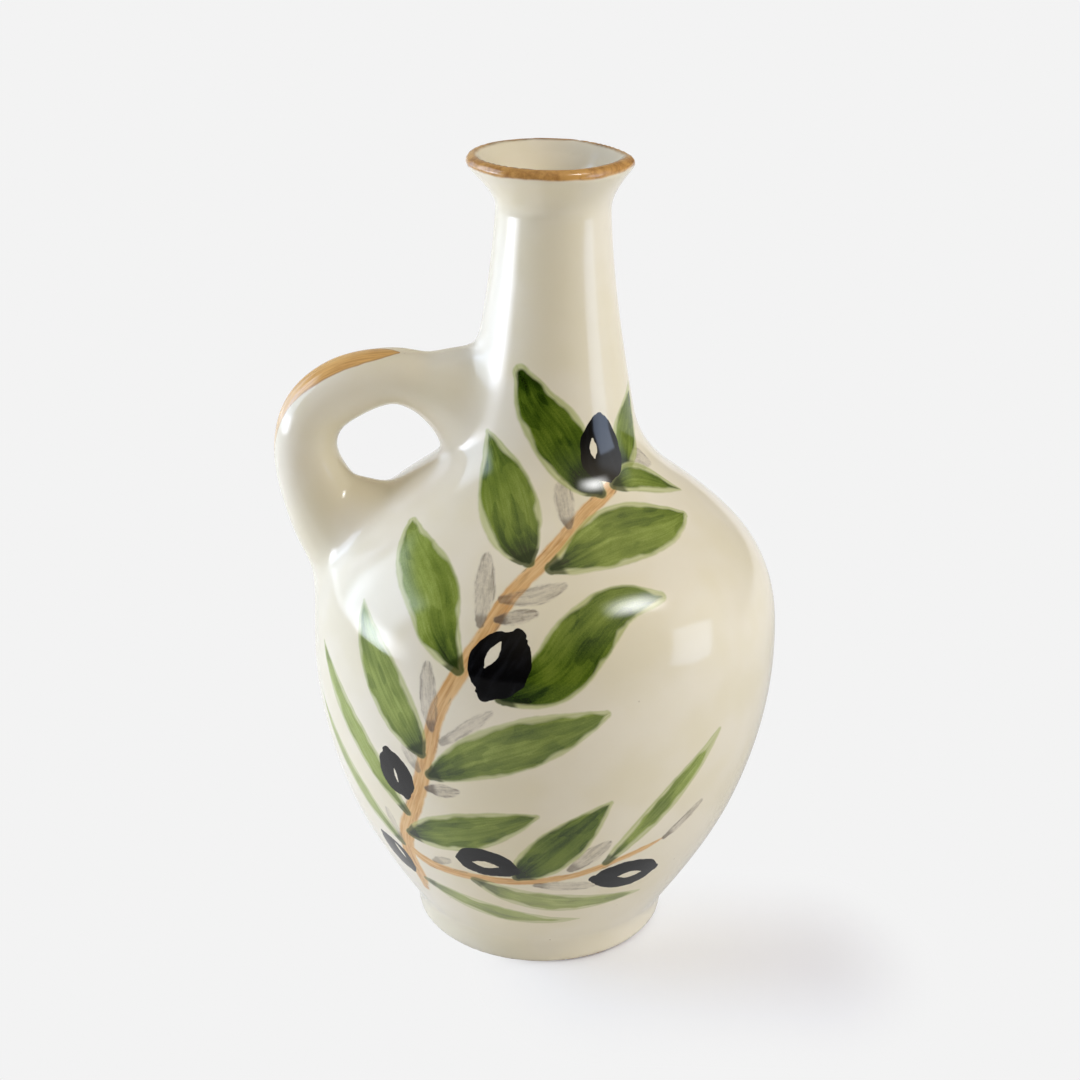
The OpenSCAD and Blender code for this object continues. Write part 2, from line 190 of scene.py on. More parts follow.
WALL_POINTS, EDGE_POINTS, CORNER_POINTS = 110, 8, 6
wall_z = np.linspace(FOOT_EDGE, LIP_EDGE[1], WALL_POINTS)
edge_a = np.linspace(-LEAN, math.pi / 2, EDGE_POINTS)[1:]
quarter = np.linspace(-math.pi / 2, 0, CORNER_POINTS)[:-1]
lip_x, lip_z = LIP_CENTRE
outer_line = [(0, 0)]
outer_line += [(FOOT_R + FOOT_EDGE * math.cos(a), FOOT_EDGE * (1 + math.sin(a))) for a in quarter]
outer_line += [(float(outside(z)[0]), z) for z in wall_z]
outer_line += [(lip_x + LIP_ROUND * math.cos(a), lip_z + LIP_ROUND * math.sin(a)) for a in edge_a]
outer_line += [(0, HEIGHT)]
body = turned("jug", outer_line)
print("full body:", len(body.data.vertices), "points")

# %% Turn the hollow
HOLLOW_POINTS = 90
WALL_STOPS, MOUTH_GAP, OVER_TOP = 0.6, 0.4, 2
hollow_z = np.linspace(FLOOR_T + CORNER_R, HEIGHT - WALL_STOPS, HOLLOW_POINTS)
corner_x = float(inside_r(FLOOR_T + CORNER_R)) - CORNER_R
out_z = HEIGHT + OVER_TOP
hollow_line = [(0, FLOOR_T)]
hollow_line += [
    (corner_x + CORNER_R * math.cos(a), FLOOR_T + CORNER_R * (1 + math.sin(a))) for a in quarter
]
hollow_line += [(float(inside_r(z)), z) for z in hollow_z]
hollow_line += [(lip_x - MOUTH_GAP, HEIGHT), (lip_x, out_z), (0, out_z)]
hollow = turned("hollow", hollow_line)
print("hollow:", len(hollow.data.vertices), "points")

# %% [markdown]
# ## The loop handle
# The potter rolls a thick coil, presses one end on the neck and the other on the shoulder, and
# smears both roots out. A row of rings along the loop, each with its own thickness and width, is
# bridged into a bar. Rings are plain circles, turned to stand square on the loop's middle line.

# %% Ring places along the handle: x, z, thickness, width
HANDLE_T, HANDLE_W, ROOT_W = 15.5, 17.0, 25.0
HANDLE_OUT, HANDLE_TOP, NECK_Z, SHOULDER_Z = 70.0, 161.0, 147.0, 106.0
NECK_X = -float(outside(NECK_Z)[0])
SHOULDER_X = -float(outside(SHOULDER_Z)[0])
OUT_X = -(HANDLE_OUT - HANDLE_T / 2)
CREST_Z = HANDLE_TOP - HANDLE_T / 2
REACH = NECK_X - OUT_X
DROP = CREST_Z - SHOULDER_Z
HANDLE_ROWS = np.array([
    (NECK_X + 0.28 * REACH, NECK_Z - 0.1 * DROP, 30, ROOT_W),
    (NECK_X + 0.12 * REACH, NECK_Z - 0.03 * DROP, 28, ROOT_W),
    (NECK_X - 0.01 * REACH, NECK_Z + 0.04 * DROP, 23.5, 0.92 * ROOT_W),
    (NECK_X - 0.23 * REACH, CREST_Z - 0.04 * DROP, HANDLE_T, 1.08 * HANDLE_W),
    (NECK_X - 0.46 * REACH, CREST_Z, 0.9 * HANDLE_T, HANDLE_W),
    (OUT_X + 0.255 * REACH, CREST_Z - 0.075 * DROP, 1.03 * HANDLE_T, HANDLE_W),
    (OUT_X + 0.05 * REACH, CREST_Z - 0.23 * DROP, 1.03 * HANDLE_T, HANDLE_W),
    (OUT_X, CREST_Z - 0.475 * DROP, 1.06 * HANDLE_T, HANDLE_W),
    (SHOULDER_X, SHOULDER_Z + 0.22 * DROP, 21.5, 0.85 * ROOT_W),
    (SHOULDER_X + 0.21 * REACH, SHOULDER_Z + 0.05 * DROP, 30.5, ROOT_W),
    (SHOULDER_X + 0.35 * REACH, SHOULDER_Z - 0.23 * DROP, 30.5, ROOT_W),
])


def smooth_through(rows, per_bay):
    """A Catmull-Rom curve through rows of numbers."""
    rows = np.asarray(rows, float)
    ends = np.vstack([2 * rows[0] - rows[1], rows, 2 * rows[-1] - rows[-2]])
    t = np.linspace(0, 1, per_bay, endpoint=False)[:, None]
    bays = []
    for a, b, c, d in zip(ends, ends[1:], ends[2:], ends[3:]):
        bay = 2 * b + (c - a) * t + (2 * a - 5 * b + 4 * c - d) * t**2
        bays.append(0.5 * (bay + (3 * b - 3 * c + d - a) * t**3))
    return np.vstack(bays + [rows[-1:]])


def ring_normals(line):
    """Unit directions in the loop's plane, pointing to the outside of the loop."""
    d = np.gradient(line[:, :2], axis=0)
    d /= np.linalg.norm(d, axis=1)[:, None]
    return np.stack([d[:, 1], -d[:, 0]], axis=1)


print("handle rows:", len(HANDLE_ROWS))

# %% Lay the rings and bridge them into a bar
RINGS_PER_BAY, RING_POINTS = 3, 32
rings = smooth_through(HANDLE_ROWS, RINGS_PER_BAY)
normals = ring_normals(rings)
for (x, z, thick, wide), (nx, nz) in zip(rings, normals):
    bpy.ops.mesh.primitive_circle_add(vertices=RING_POINTS, radius=0.5 * MM)
    ring = bpy.context.object
    ring.matrix_world = Matrix((
        (nx * thick, 0, nz, x * MM),
        (0, wide, 0, 0),
        (nz * thick, 0, -nx, z * MM),
        (0, 0, 0, 1),
    ))
    ring.name = "ring"
ring_parts = [o for o in bpy.data.objects if o.name.startswith("ring")]
for o in ring_parts:
    o.select_set(True)
bpy.context.view_layer.objects.active = ring_parts[0]
bpy.ops.object.transform_apply(location=True, rotation=True, scale=True)
bpy.ops.object.join()
handle = bpy.context.object
handle.name = "handle"
bpy.ops.object.mode_set(mode="EDIT")
bpy.ops.mesh.select_all(action="SELECT")
bpy.ops.mesh.bridge_edge_loops()
bpy.ops.mesh.select_all(action="SELECT")
bpy.ops.mesh.fill_holes(sides=0)
bpy.ops.mesh.select_all(action="SELECT")
bpy.ops.mesh.normals_make_consistent(inside=False)
bpy.ops.object.mode_set(mode="OBJECT")
print("handle:", len(rings), "rings,", len(handle.data.polygons), "faces")

# %% [markdown]
# ## One piece of clay
# Two Booleans make the rough pot: the handle is added to the full body, and the hollow is cut
# from both, so that nothing of the handle stands inside the neck. A voxel remesh then gives the
# whole pot an even skin of small faces, which the next step can move like clay.

# %% Join, hollow out and remesh
VOXEL = 1.35 * MM


def cut_or_join(target, tool, operation):
    """Applies one Boolean to the target and removes the tool."""
    bpy.ops.object.select_all(action="DESELECT")
    bpy.context.view_layer.objects.active = target
    target.select_set(True)
    boolean = target.modifiers.new("clay", "BOOLEAN")
    boolean.operation = operation
    boolean.object = tool
    boolean.solver = "EXACT"
    bpy.ops.object.modifier_apply(modifier=boolean.name)
    bpy.data.objects.remove(tool)


cut_or_join(body, handle, "UNION")
cut_or_join(body, hollow, "DIFFERENCE")
body.data.remesh_voxel_size = VOXEL
body.data.remesh_voxel_adaptivity = 0
bpy.ops.object.voxel_remesh()
print("remeshed:", len(body.data.vertices), "points,", len(body.data.polygons), "faces")

# %% [markdown]
# ## Smoothing the clay exactly
# A remesh leaves tiny steps, and a glossy glaze shows every one of them. Instead of blurring them
# away we write the jug's form as one formula: a distance that is zero on the skin, minus inside
# the clay and plus outside. The handle's distance is blended with the wall's, which gives the
# smeared roots their soft fillets. Then each point walks down that distance to the skin.

# %% The form as a distance
FILLET = 8.0
PRESS_AT, PRESS_HALF = 28.0, 75.0
FAR_AWAY, TINY = 1000.0, 1e-9


def lip_pressed(azimuth, z):
    """How far the lip is pressed in, in mm; azimuth in degrees from the spout's tip."""
    off = np.minimum(1, (np.abs(azimuth) - PRESS_AT) / PRESS_HALF)
    around = PINCH * (1 + np.cos(np.pi * off)) / 2
    share = np.clip((z - WAIST_Z) / FLARE_H, 0, 1)
    return around * share**2 * (3 - 2 * share)


def wall_distance(r, z):
    """(distance to the turned wall, distance into the hollow) in the plane of the axis."""
    ro, so = outside(z)
    out = (r - ro) / np.sqrt(1 + so**2)
    foot = np.where(r > FOOT_R, np.hypot(r - FOOT_R, z - FOOT_EDGE) - FOOT_EDGE, -z)
    out = np.where(z < FOOT_EDGE, foot, out)
    ri = inside_r(z)
    e = 0.02
    si = (inside_r(z + e) - inside_r(z - e)) / (2 * e)
    into = np.minimum((ri - r) / np.sqrt(1 + si**2), z - FLOOR_T)
    low = (r > corner_x) & (z < FLOOR_T + CORNER_R)
    into = np.where(low, CORNER_R - np.hypot(r - corner_x, z - FLOOR_T - CORNER_R), into)
    wall = np.maximum(np.maximum(out, into), -z)
    dr, dz = r - LIP_CENTRE[0], z - LIP_CENTRE[1]
    over_edge = dr * math.sin(LEAN) + dz * math.cos(LEAN) > 0
    wall = np.where(over_edge, np.hypot(dr, dz) - LIP_ROUND, wall)
    return wall, np.where(over_edge, -FAR_AWAY, into)


print("lip pressed in by", PINCH, "mm at its sides")

# %% [markdown]
# The handle is a row of ellipsoids, one at each small step of its loop, melted into one bar. The
# melting adds a little thickness, the same all along the loop, and MELTED takes it off again.
# Only points in a box round the handle are measured, in batches, to save memory.

# %% The handle's distance and the whole form
SOFTNESS, MELTED = 3.0, 4.1
BOX_X, BOX_LOW, BOX_HIGH, BOX_Y = -4, 70, 190, 34
BATCH = 20000
LOOP_PER_BAY = 20
loop = smooth_through(HANDLE_ROWS, LOOP_PER_BAY)
loop_step = np.linalg.norm(np.gradient(loop[:, :2], axis=0), axis=1)
a2, b2 = (loop[:, 2] / 2) ** 2, (loop[:, 3] / 2) ** 2


def handle_distance(p):
    """Distance to the bar for points near it, and a large number for all others."""
    d = np.full(len(p), FAR_AWAY)
    near = (p[:, 0] < BOX_X) & (p[:, 2] > BOX_LOW) & (p[:, 2] < BOX_HIGH)
    near = np.where(near & (np.abs(p[:, 1]) < BOX_Y))[0]
    for part in np.array_split(near, 1 + len(near) // BATCH):
        q = p[part]
        flat = (q[:, 0:1] - loop[:, 0]) ** 2 + (q[:, 2:3] - loop[:, 1]) ** 2
        k0 = np.sqrt(flat / a2 + q[:, 1:2] ** 2 / b2) + TINY
        k1 = np.sqrt(flat / a2**2 + q[:, 1:2] ** 2 / b2**2) + TINY
        each = k0 * (k0 - 1) / k1
        low = each.min(axis=1, keepdims=True)
        melted = (np.exp(SOFTNESS * (low - each)) * loop_step).sum(axis=1)
        d[part] = low[:, 0] - np.log(melted / MELTED) / SOFTNESS
    return d


def form(p):
    """The whole jug: minus inside the clay, zero on the glaze, plus outside, in mm."""
    r = np.hypot(p[:, 0], p[:, 1])
    r = r + lip_pressed(np.degrees(np.arctan2(p[:, 1], p[:, 0])), p[:, 2])
    wall, into = wall_distance(r, p[:, 2])
    bar = handle_distance(p)
    h = np.maximum(FILLET - np.abs(wall - bar), 0) / FILLET
    return np.maximum(np.minimum(wall, bar) - h**3 * FILLET / 6, into)


inner, skin, outer = form(np.array([(BELLY_R + d, 0, BELLY_Z) for d in (-1.0, 0.0, 1.0)]))
print("form 1 mm inside, on and outside the belly: %.2f, %.2f, %.2f" % (inner, skin, outer))

# %% Walking to the skin
PROBE, STRIDE = 0.03, 1.5
LEAST_SIZE = 0.2


def uphill(p):
    """The direction in which the distance grows, which is the glaze's normal."""
    g = np.empty_like(p)
    for axis in range(3):
        e = np.zeros(3)
        e[axis] = PROBE
        g[:, axis] = (form(p + e) - form(p - e)) / (2 * PROBE)
    return g


def settle(p, rounds):
    """Walks points to the skin, at most one stride at a time."""
    for _ in range(rounds):
        g = uphill(p)
        size = np.maximum((g**2).sum(axis=1), LEAST_SIZE)
        move = (form(p) / size)[:, None] * g
        length = np.linalg.norm(move, axis=1)[:, None]
        p = p - move * np.minimum(1, STRIDE / np.maximum(length, TINY))
    return p


def get_points(mesh):
    """The mesh's points in millimetres."""
    flat = np.empty(len(mesh.vertices) * 3, np.float32)
    mesh.vertices.foreach_get("co", flat)
    return flat.reshape(-1, 3).astype(float) / MM


def put_points(mesh, p):
    """Moves the mesh's points to places in millimetres."""
    mesh.vertices.foreach_set("co", (p * MM).astype(np.float32).ravel())
    mesh.update()


points = get_points(body.data)
print("points start at most %.2f mm off the skin" % np.abs(form(points)).max())

# %% Press the lip of the mesh, then settle every point
around = np.degrees(np.arctan2(points[:, 1], points[:, 0]))
radius = np.hypot(points[:, 0], points[:, 1])
shrink = 1 - lip_pressed(around, points[:, 2]) / np.maximum(radius, 1)
points[:, 0] *= shrink
points[:, 1] *= shrink
points = settle(points, rounds=4)
put_points(body.data, points)
for _ in range(2):
    bpy.ops.object.mode_set(mode="EDIT")
    bpy.ops.mesh.select_all(action="SELECT")
    bpy.ops.mesh.vertices_smooth(factor=0.5, repeat=3)
    bpy.ops.object.mode_set(mode="OBJECT")
    points = settle(get_points(body.data), rounds=3)
    put_points(body.data, points)
left_over = np.abs(form(points))
print("off the skin: worst %.3f mm, mean %.4f mm" % (left_over.max(), left_over.mean()))

# %% [markdown]
# The formula also knows which way the glaze faces at each point. Given to the mesh as custom
# normals, it makes reflections run over the pot without a ripple.

# %% Exact normals for clean reflections
bpy.ops.object.shade_smooth()
facing = uphill(points)
facing /= np.maximum(np.linalg.norm(facing, axis=1)[:, None], TINY)
body.data.normals_split_custom_set_from_vertices(facing.tolist())
print("normals set on", len(facing), "points")

# %% [markdown]
# ## Painting: strokes as coordinates
# A brush stroke has a middle line, and any point of the glaze near it has two numbers: how far
# along the stroke it lies, and how far to its side. We compute both for each corner of the mesh
# and keep them as an attribute. The material then draws the edge, the streaks and the watery
# rim of each stroke from them, sharp at any distance and with no picture file. Corners that no
# stroke reaches get a place far outside of any stroke.

# %% Corners of the mesh and places on the glaze
loops = np.empty(len(body.data.loops), np.int32)
body.data.loops.foreach_get("vertex_index", loops)
starts = np.empty(len(body.data.polygons), np.int32)
body.data.polygons.foreach_get("loop_start", starts)
face_of_loop = np.zeros(len(loops), np.int32)
face_of_loop[starts[1:]] = 1
face_of_loop = np.cumsum(face_of_loop)


def on_glaze(azimuth, z):
    """Points and normals on the belly; azimuth in degrees from the painted front to the spout."""
    r, slope = outside(z)
    a = np.radians(azimuth)
    q = np.sqrt(1 + slope**2)
    place = np.stack([r * np.sin(a), -r * np.cos(a), z], axis=1)
    normal = np.stack([np.sin(a) / q, -np.cos(a) / q, -slope / q], axis=1)
    return place, normal


front, _ = on_glaze(np.zeros(1), np.array([BELLY_Z]))
print("paint can be written to", len(loops), "corners of", len(starts), "faces")
print("the painted front at the belly is at", front[0].round(1), "mm")

# %% [markdown]
# The middle line is cut into steps of 0.3 mm, and each point takes the nearest step's direction.
# Points that face away from the stroke are on another side of the clay and are left out.

# %% Measure the points near a stroke
STROKE_STEP, LEAST_STEPS = 0.3, 8
SAME_SIDE = -0.3


def even_steps(place, normal):
    """The middle line cut into equal small steps, with its length at each."""
    length = np.concatenate([[0], np.cumsum(np.linalg.norm(np.diff(place, axis=0), axis=1))])
    s = np.linspace(0, length[-1], max(LEAST_STEPS, int(length[-1] / STROKE_STEP)))
    place = np.stack([np.interp(s, length, place[:, k]) for k in range(3)], axis=1)
    normal = np.stack([np.interp(s, length, normal[:, k]) for k in range(3)], axis=1)
    return s, place, normal


def brush_line(line, half, tone, wash, seed, reach=3.5):
    """Measures every point near a stroke.

    line is (places, normals), and half(t) the half width at the share t of its length. Points
    up to reach outside the stroke's edge keep its numbers too, for soft and wavering edges.
    """
    s, place, normal = even_steps(*line)
    tangent = np.gradient(place, axis=0)
    tangent /= np.linalg.norm(tangent, axis=1)[:, None]
    side = np.cross(tangent, normal)
    side /= np.linalg.norm(side, axis=1)[:, None]
    t = s / s[-1]
    far = 2 * half(t).max() + reach
    near = np.where(np.linalg.norm(points - place.mean(axis=0), axis=1) < s[-1] / 2 + far)[0]
    near = near[(facing[near] @ normal.mean(axis=0)) > SAME_SIDE]
    gaps = ((points[near][:, None, :] - place[None]) ** 2).sum(axis=2)
    i = gaps.argmin(axis=1)
    close = gaps.min(axis=1) < far**2
    near, i = near[close], i[close]
    delta = points[near] - place[i]
    along = s[i] + (delta * tangent[i]).sum(axis=1)
    across = (delta * side[i]).sum(axis=1)
    width = half(np.clip(along / s[-1], 0, 1))
    over = np.maximum(0, np.maximum(-along, along - s[-1]))
    edge = width - np.hypot(across, over)
    keep = edge > -reach
    return {
        "points": near[keep], "edge": edge[keep],
        "place": np.stack([along, across, width], axis=1)[keep],
        "look": (s[-1], seed, 0.0), "tone": (tone, wash, 0.0),
    }


print("strokes are measured every", STROKE_STEP, "mm")

# %% [markdown]
# Strokes cross on the jug, and a corner can keep only one stroke's numbers in one attribute. So
# strokes that lie apart share a layer, and those that cross go into layers of their own, which
# the material lays over each other like coats of paint. SPARE is kept free round each stroke, and
# a face takes the stroke whose edge it lies deepest in.

# %% Layers of strokes, written to the mesh
PARTS = ("place", "look", "tone")
SPARE = 1.5
NO_PAINT = (-90.0, 90.0, 0.0)
NO_EDGE, LEAST_EDGE = -1000.0, -100.0


def layers_of(strokes):
    """Sorts strokes into layers, so that no two of one layer come near each other."""
    layers = []
    for stroke in strokes:
        own = set(stroke["points"][stroke["edge"] > -SPARE].tolist())
        for layer in layers:
            if not any(own & taken for taken, _ in layer):
                layer.append((own, stroke))
                break
        else:
            layers.append([(own, stroke)])
    return [[stroke for _, stroke in layer] for layer in layers]


def write_layer(name, strokes):
    """Writes the strokes' coordinates to corner attributes called NAME_place, _look and _tone."""
    best = np.full(len(starts), NO_EDGE)
    out = {part: np.zeros((len(loops), 3)) for part in PARTS}
    out["place"][:] = NO_PAINT
    counts = np.bincount(face_of_loop)
    for stroke in strokes:
        edge = np.full(len(points), NO_EDGE)
        edge[stroke["points"]] = stroke["edge"]
        place = np.tile(NO_PAINT, (len(points), 1))
        place[stroke["points"]] = stroke["place"]
        face_edge = np.bincount(face_of_loop, weights=edge[loops]) / counts
        wins = face_edge > np.maximum(best, LEAST_EDGE)
        best[wins] = face_edge[wins]
        mine = wins[face_of_loop]
        out["place"][mine] = place[loops[mine]]
        out["look"][mine], out["tone"][mine] = stroke["look"], stroke["tone"]
    for part, values in out.items():
        attribute = body.data.attributes.new(f"{name}_{part}", "FLOAT_VECTOR", "CORNER")
        attribute.data.foreach_set("vector", values.astype(np.float32).ravel())


print("each layer keeps", ", ".join(PARTS))

# %% [markdown]
# ## The olive branch
# Branches like this one are painted with a handful of strokes: one press of a round brush per
# leaf, which starts thin at the stalk, swells and ends in a flick; a long ochre line for the
# twig; grey dabs for buds; and thick black ovals for olives, each with a bare spot as its shine.
# Every stroke below is a few places on the jug, as azimuth and height, and a width. Tone and
# wash are how dark and how full the colour is, and each stroke has a seed for its own streaks.

# %% Leaves: places from stalk to tip, width, fullest place, bluntness of the tip, darkness, wash
LEAVES = [
    ([(27, 132.5), (19, 136.5), (5, 146), (-9, 152.5), (-18, 158), (-21.5, 160)],
     14.2, 0.45, 4.8, 0.7, 1.0),
    ([(47, 136.2), (62, 144.5), (80, 154)], 10.5, 0.42, 0.8, 0.5, 0.95),
    ([(36, 133.5), (50, 133.8), (63, 131.5), (77, 127)], 8.4, 0.42, 0.6, 0.55, 0.95),
    ([(-5.5, 121), (-11, 125), (-22, 133), (-43, 144.5)], 15.0, 0.45, 1.4, 0.48, 0.95),
    ([(2, 120), (28, 124.8), (63, 124.3)], 16.4, 0.52, 2.4, 0.46, 0.95),
    ([(-20, 98.8), (-26.5, 106), (-34, 114), (-56, 122.8)], 14.8, 0.5, 2.8, 0.38, 0.95),
    ([(-9.5, 93.4), (2, 99), (10, 107.5), (20, 113), (33, 113)], 14.8, 0.42, 3.0, 0.58, 1.0),
    ([(-29, 74.5), (-34, 82), (-41.5, 93), (-47.5, 100.5), (-52.5, 106.5)],
     13.2, 0.42, 0.7, 0.4, 0.93),
    ([(-27, 68.5), (-12, 78), (14.5, 89.3)], 14.0, 0.5, 2.0, 0.42, 0.95),
    ([(-36, 53.5), (-48.5, 70), (-67, 90)], 8.5, 0.5, 0.8, 0.25, 0.9),
    ([(-42, 40.3), (-54.5, 53.5), (-71, 74)], 6.6, 0.45, 0.6, 0.2, 0.85),
    ([(-37, 46), (-18, 53), (-1, 60.5)], 12.6, 0.45, 1.8, 0.5, 0.95),
    ([(-6, 38.5), (4, 49), (16.8, 64)], 13.2, 0.42, 1.2, 0.6, 0.97),
    ([(18, 43.3), (31, 59.5), (46, 77)], 7.6, 0.5, 1.2, 0.34, 0.92),
    ([(-39, 27.5), (-20, 22.8), (0, 19.8), (14.5, 19.2)], 7.4, 0.45, 0.5, 0.32, 0.72),
    ([(-19, 35), (-8, 30.5), (8, 27.6), (34, 27)], 8.8, 0.45, 0.5, 0.28, 0.72),
]


PER_BAY = 12


def leaf_half(width, fullest, blunt):
    """Half width of a leaf: a stalk end that grows with the width, one swell, and a tip."""
    power = math.log(0.5) / math.log(fullest)
    stalk = 0.6 + 0.07 * width
    blunt = 0.5 * blunt
    belly = width / 2 - 0.5 * (stalk + blunt)

    def half(t):
        swell = np.sin(np.pi * np.clip(t, 0, 1) ** power)
        return stalk * (1 - t) + blunt * t + belly * np.maximum(swell, 0) ** 0.85
    return half


def glaze_line(places):
    """A smooth middle line on the glaze through a few places."""
    p = smooth_through(places, PER_BAY)
    return on_glaze(p[:, 0], p[:, 1])


leaf_strokes = [
    brush_line(glaze_line(places), leaf_half(width, fullest, blunt), dark, wash, 3.7 * n + 1)
    for n, (places, width, fullest, blunt, dark, wash) in enumerate(LEAVES)
]
leaf_layers = layers_of(leaf_strokes)
for n, layer in enumerate(leaf_layers):
    write_layer(f"leaf{n}", layer)
print(len(leaf_strokes), "leaves in", len(leaf_layers), "layers")

# %% Twigs: places along the line, width at the start and at the end
TWIGS = [
    ([(33, 133), (26, 131.5), (15, 128.5), (2, 122.7), (-9.6, 115), (-15.8, 105), (-20.5, 96),
      (-24.6, 87), (-27.2, 76), (-30, 64.5), (-35, 53), (-39.5, 43), (-41.5, 34.5), (-41.2, 28.5),
      (-43.5, 22)], 3.9, 5.2),
    ([(-39.5, 39.5), (-33, 36.7), (-20, 36.2), (-4, 37), (10, 39.6), (23, 44), (34, 47.5)],
     3.9, 1.7),
]


EVEN_TONE, FULL_WASH = 0.5, 1.0
DRAW_FROM, DRAW_OVER, DRAW_IN = 0.93, 0.07, 0.55


def twig_half(first, last):
    """Half width of a twig, which draws in at its very end."""
    def half(t):
        drawn_in = 1 - DRAW_IN * np.clip((t - DRAW_FROM) / DRAW_OVER, 0, 1)
        return 0.5 * (first + (last - first) * t) * drawn_in
    return half


twig_strokes = [
    brush_line(glaze_line(places), twig_half(start, end), EVEN_TONE, FULL_WASH, 11.0 * n + 2)
    for n, (places, start, end) in enumerate(TWIGS)
]
write_layer("twig", twig_strokes)
print(len(twig_strokes), "twigs")

# %% Buds: places from the stalk end to the tip, width, darkness, wash
BUDS = [
    ([(8.8, 127), (7.2, 135.5)], 5.0, 0.5, 0.62),
    ([(-16.3, 109), (-17, 114.5), (-19.6, 121.3)], 5.2, 0.5, 0.62),
    ([(-12, 114.2), (-4, 115), (5.5, 117)], 4.8, 0.35, 0.55),
    ([(-12.3, 110.2), (-2.5, 112)], 3.6, 0.75, 0.75),
    ([(-26, 82), (-27.8, 98.3)], 5.0, 0.55, 0.6),
    ([(-23.5, 79), (-12, 89)], 3.4, 0.25, 0.5),
    ([(-30.3, 69), (-33.8, 76)], 4.0, 0.3, 0.5),
    ([(-28, 64), (-20.3, 65.5)], 4.0, 0.7, 0.7),
    ([(48, 136), (60, 137), (72, 134.5)], 6.0, 0.5, 0.55),
    ([(8.3, 41.8), (17.6, 50.5)], 5.4, 0.45, 0.6),
    ([(-1, 35.8), (15.6, 34.6)], 4.2, 0.4, 0.5),
    ([(34.5, 47.5), (44.5, 55.5)], 3.0, 0.6, 0.65),
    ([(-42, 42), (-44, 51)], 3.2, 0.3, 0.45),
    ([(-31, 38.5), (-26, 40.5)], 3.6, 0.3, 0.4),
]


BUD_END = 0.9


def bud_half(width):
    """Half width of a bud: a small oval with blunt ends."""
    def half(t):
        return BUD_END + (width / 2 - BUD_END) * np.sin(np.pi * np.clip(t, 0, 1) ** 1.1) ** 0.7
    return half


bud_strokes = [
    brush_line(glaze_line(places), bud_half(width), dark, wash, 5.3 * n + 3)
    for n, (places, width, dark, wash) in enumerate(BUDS)
]
write_layer("bud", bud_strokes)
print(len(bud_strokes), "buds")

# %% Olives: places, width, fullest place, bluntness, then the bare spot's ends and width
OLIVES = [
    ([(35, 134.5), (34.5, 141), (35.7, 149.6)], 12.0, 0.42, 1.2,
     [(29, 139.6), (29.2, 144.2)], 2.0),
    ([(-13.3, 94.0), (-10.3, 101), (-6.4, 107.4)], 15.2, 0.48, 4.0,
     [(-13.8, 100.2), (-10.4, 106.0)], 2.7),
    ([(-35, 59.3), (-37.2, 65), (-39.4, 71.6)], 10.6, 0.46, 2.0,
     [(-37.7, 66.8), (-37.0, 62.8)], 0.8),
    ([(-44.6, 28.6), (-47.5, 34), (-52.0, 39)], 9.6, 0.5, 1.6,
     [(-46.9, 38.0), (-44.8, 33.4)], 1.1),
    ([(-22.6, 42.6), (-14.5, 42.8), (-6.2, 40.6)], 10.4, 0.42, 1.6,
     [(-18.4, 42.3), (-11.2, 41.9)], 2.4),
    ([(15.6, 37.3), (25.0, 36.6), (35.0, 36.2)], 11.4, 0.52, 2.6,
     [(23.0, 36.4), (30.4, 36.2)], 2.4),
]


SPOT_END, SPOT_REACH = 0.05, 2.5


def olive_half(width, fullest, blunt):
    """Half width of an olive: a full oval with round ends."""
    power = math.log(0.5) / math.log(fullest)

    def half(t):
        swell = np.sin(np.pi * np.clip(t, 0, 1) ** power)
        return blunt * 0.5 + (width / 2 - blunt * 0.5) * np.maximum(swell, 0) ** 0.55
    return half


def spot_half(width):
    """Half width of a bare spot: a thin lens."""
    def half(t):
        return SPOT_END + (width / 2) * (1 - (2 * np.clip(t, 0, 1) - 1) ** 2)
    return half


paint = (EVEN_TONE, FULL_WASH)
olive_strokes, spot_strokes = [], []
for n, (places, width, fullest, blunt, ends, spot_width) in enumerate(OLIVES):
    oval, lens = olive_half(width, fullest, blunt), spot_half(spot_width)
    olive_strokes.append(brush_line(glaze_line(places), oval, *paint, 7.1 * n + 4))
    spot_strokes.append(brush_line(glaze_line(ends), lens, *paint, 7.9 * n + 5, SPOT_REACH))
write_layer("olive", olive_strokes)
write_layer("spot", spot_strokes)
print(len(olive_strokes), "olives, each with a bare spot")

# %% [markdown]
# ## The ochre line on the lip and on the handle
# The rim is painted by holding the brush still while the wheel turns, so the band follows the
# round edge of the lip. One number is enough for it: the way over the edge, from the outside in.
# The handle gets one free stroke over its crest, a little towards the painted side.

# %% The way over the lip for the rim band
LIP_FROM_Z = 195.0
x, y, z = points.T
pressed_r = np.hypot(x, y) + lip_pressed(np.degrees(np.arctan2(y, x)), z)
over_r, over_z = pressed_r - lip_x, z - lip_z
turn = np.arctan2(over_z, over_r)
turn = np.where(turn < -LEAN - math.pi / 2, turn + 2 * math.pi, turn)
down = -(over_r * math.sin(LEAN) + over_z * math.cos(LEAN))
outwards = over_r * math.cos(LEAN) - over_z * math.sin(LEAN) > 0
edge_start, edge_end = -LIP_ROUND * LEAN, LIP_ROUND * (math.pi - LEAN)
way_over = LIP_ROUND * np.clip(turn, -LEAN, math.pi - LEAN)
way_over = np.where(down > 0, np.where(outwards, edge_start - down, edge_end + down), way_over)
way_over = np.where(z > LIP_FROM_Z, way_over, NO_PAINT[0])
rim = body.data.attributes.new("rim_way", "FLOAT", "POINT")
rim.data.foreach_set("value", way_over.astype(np.float32))
print("way over the lip: up to %.1f mm" % way_over.max())

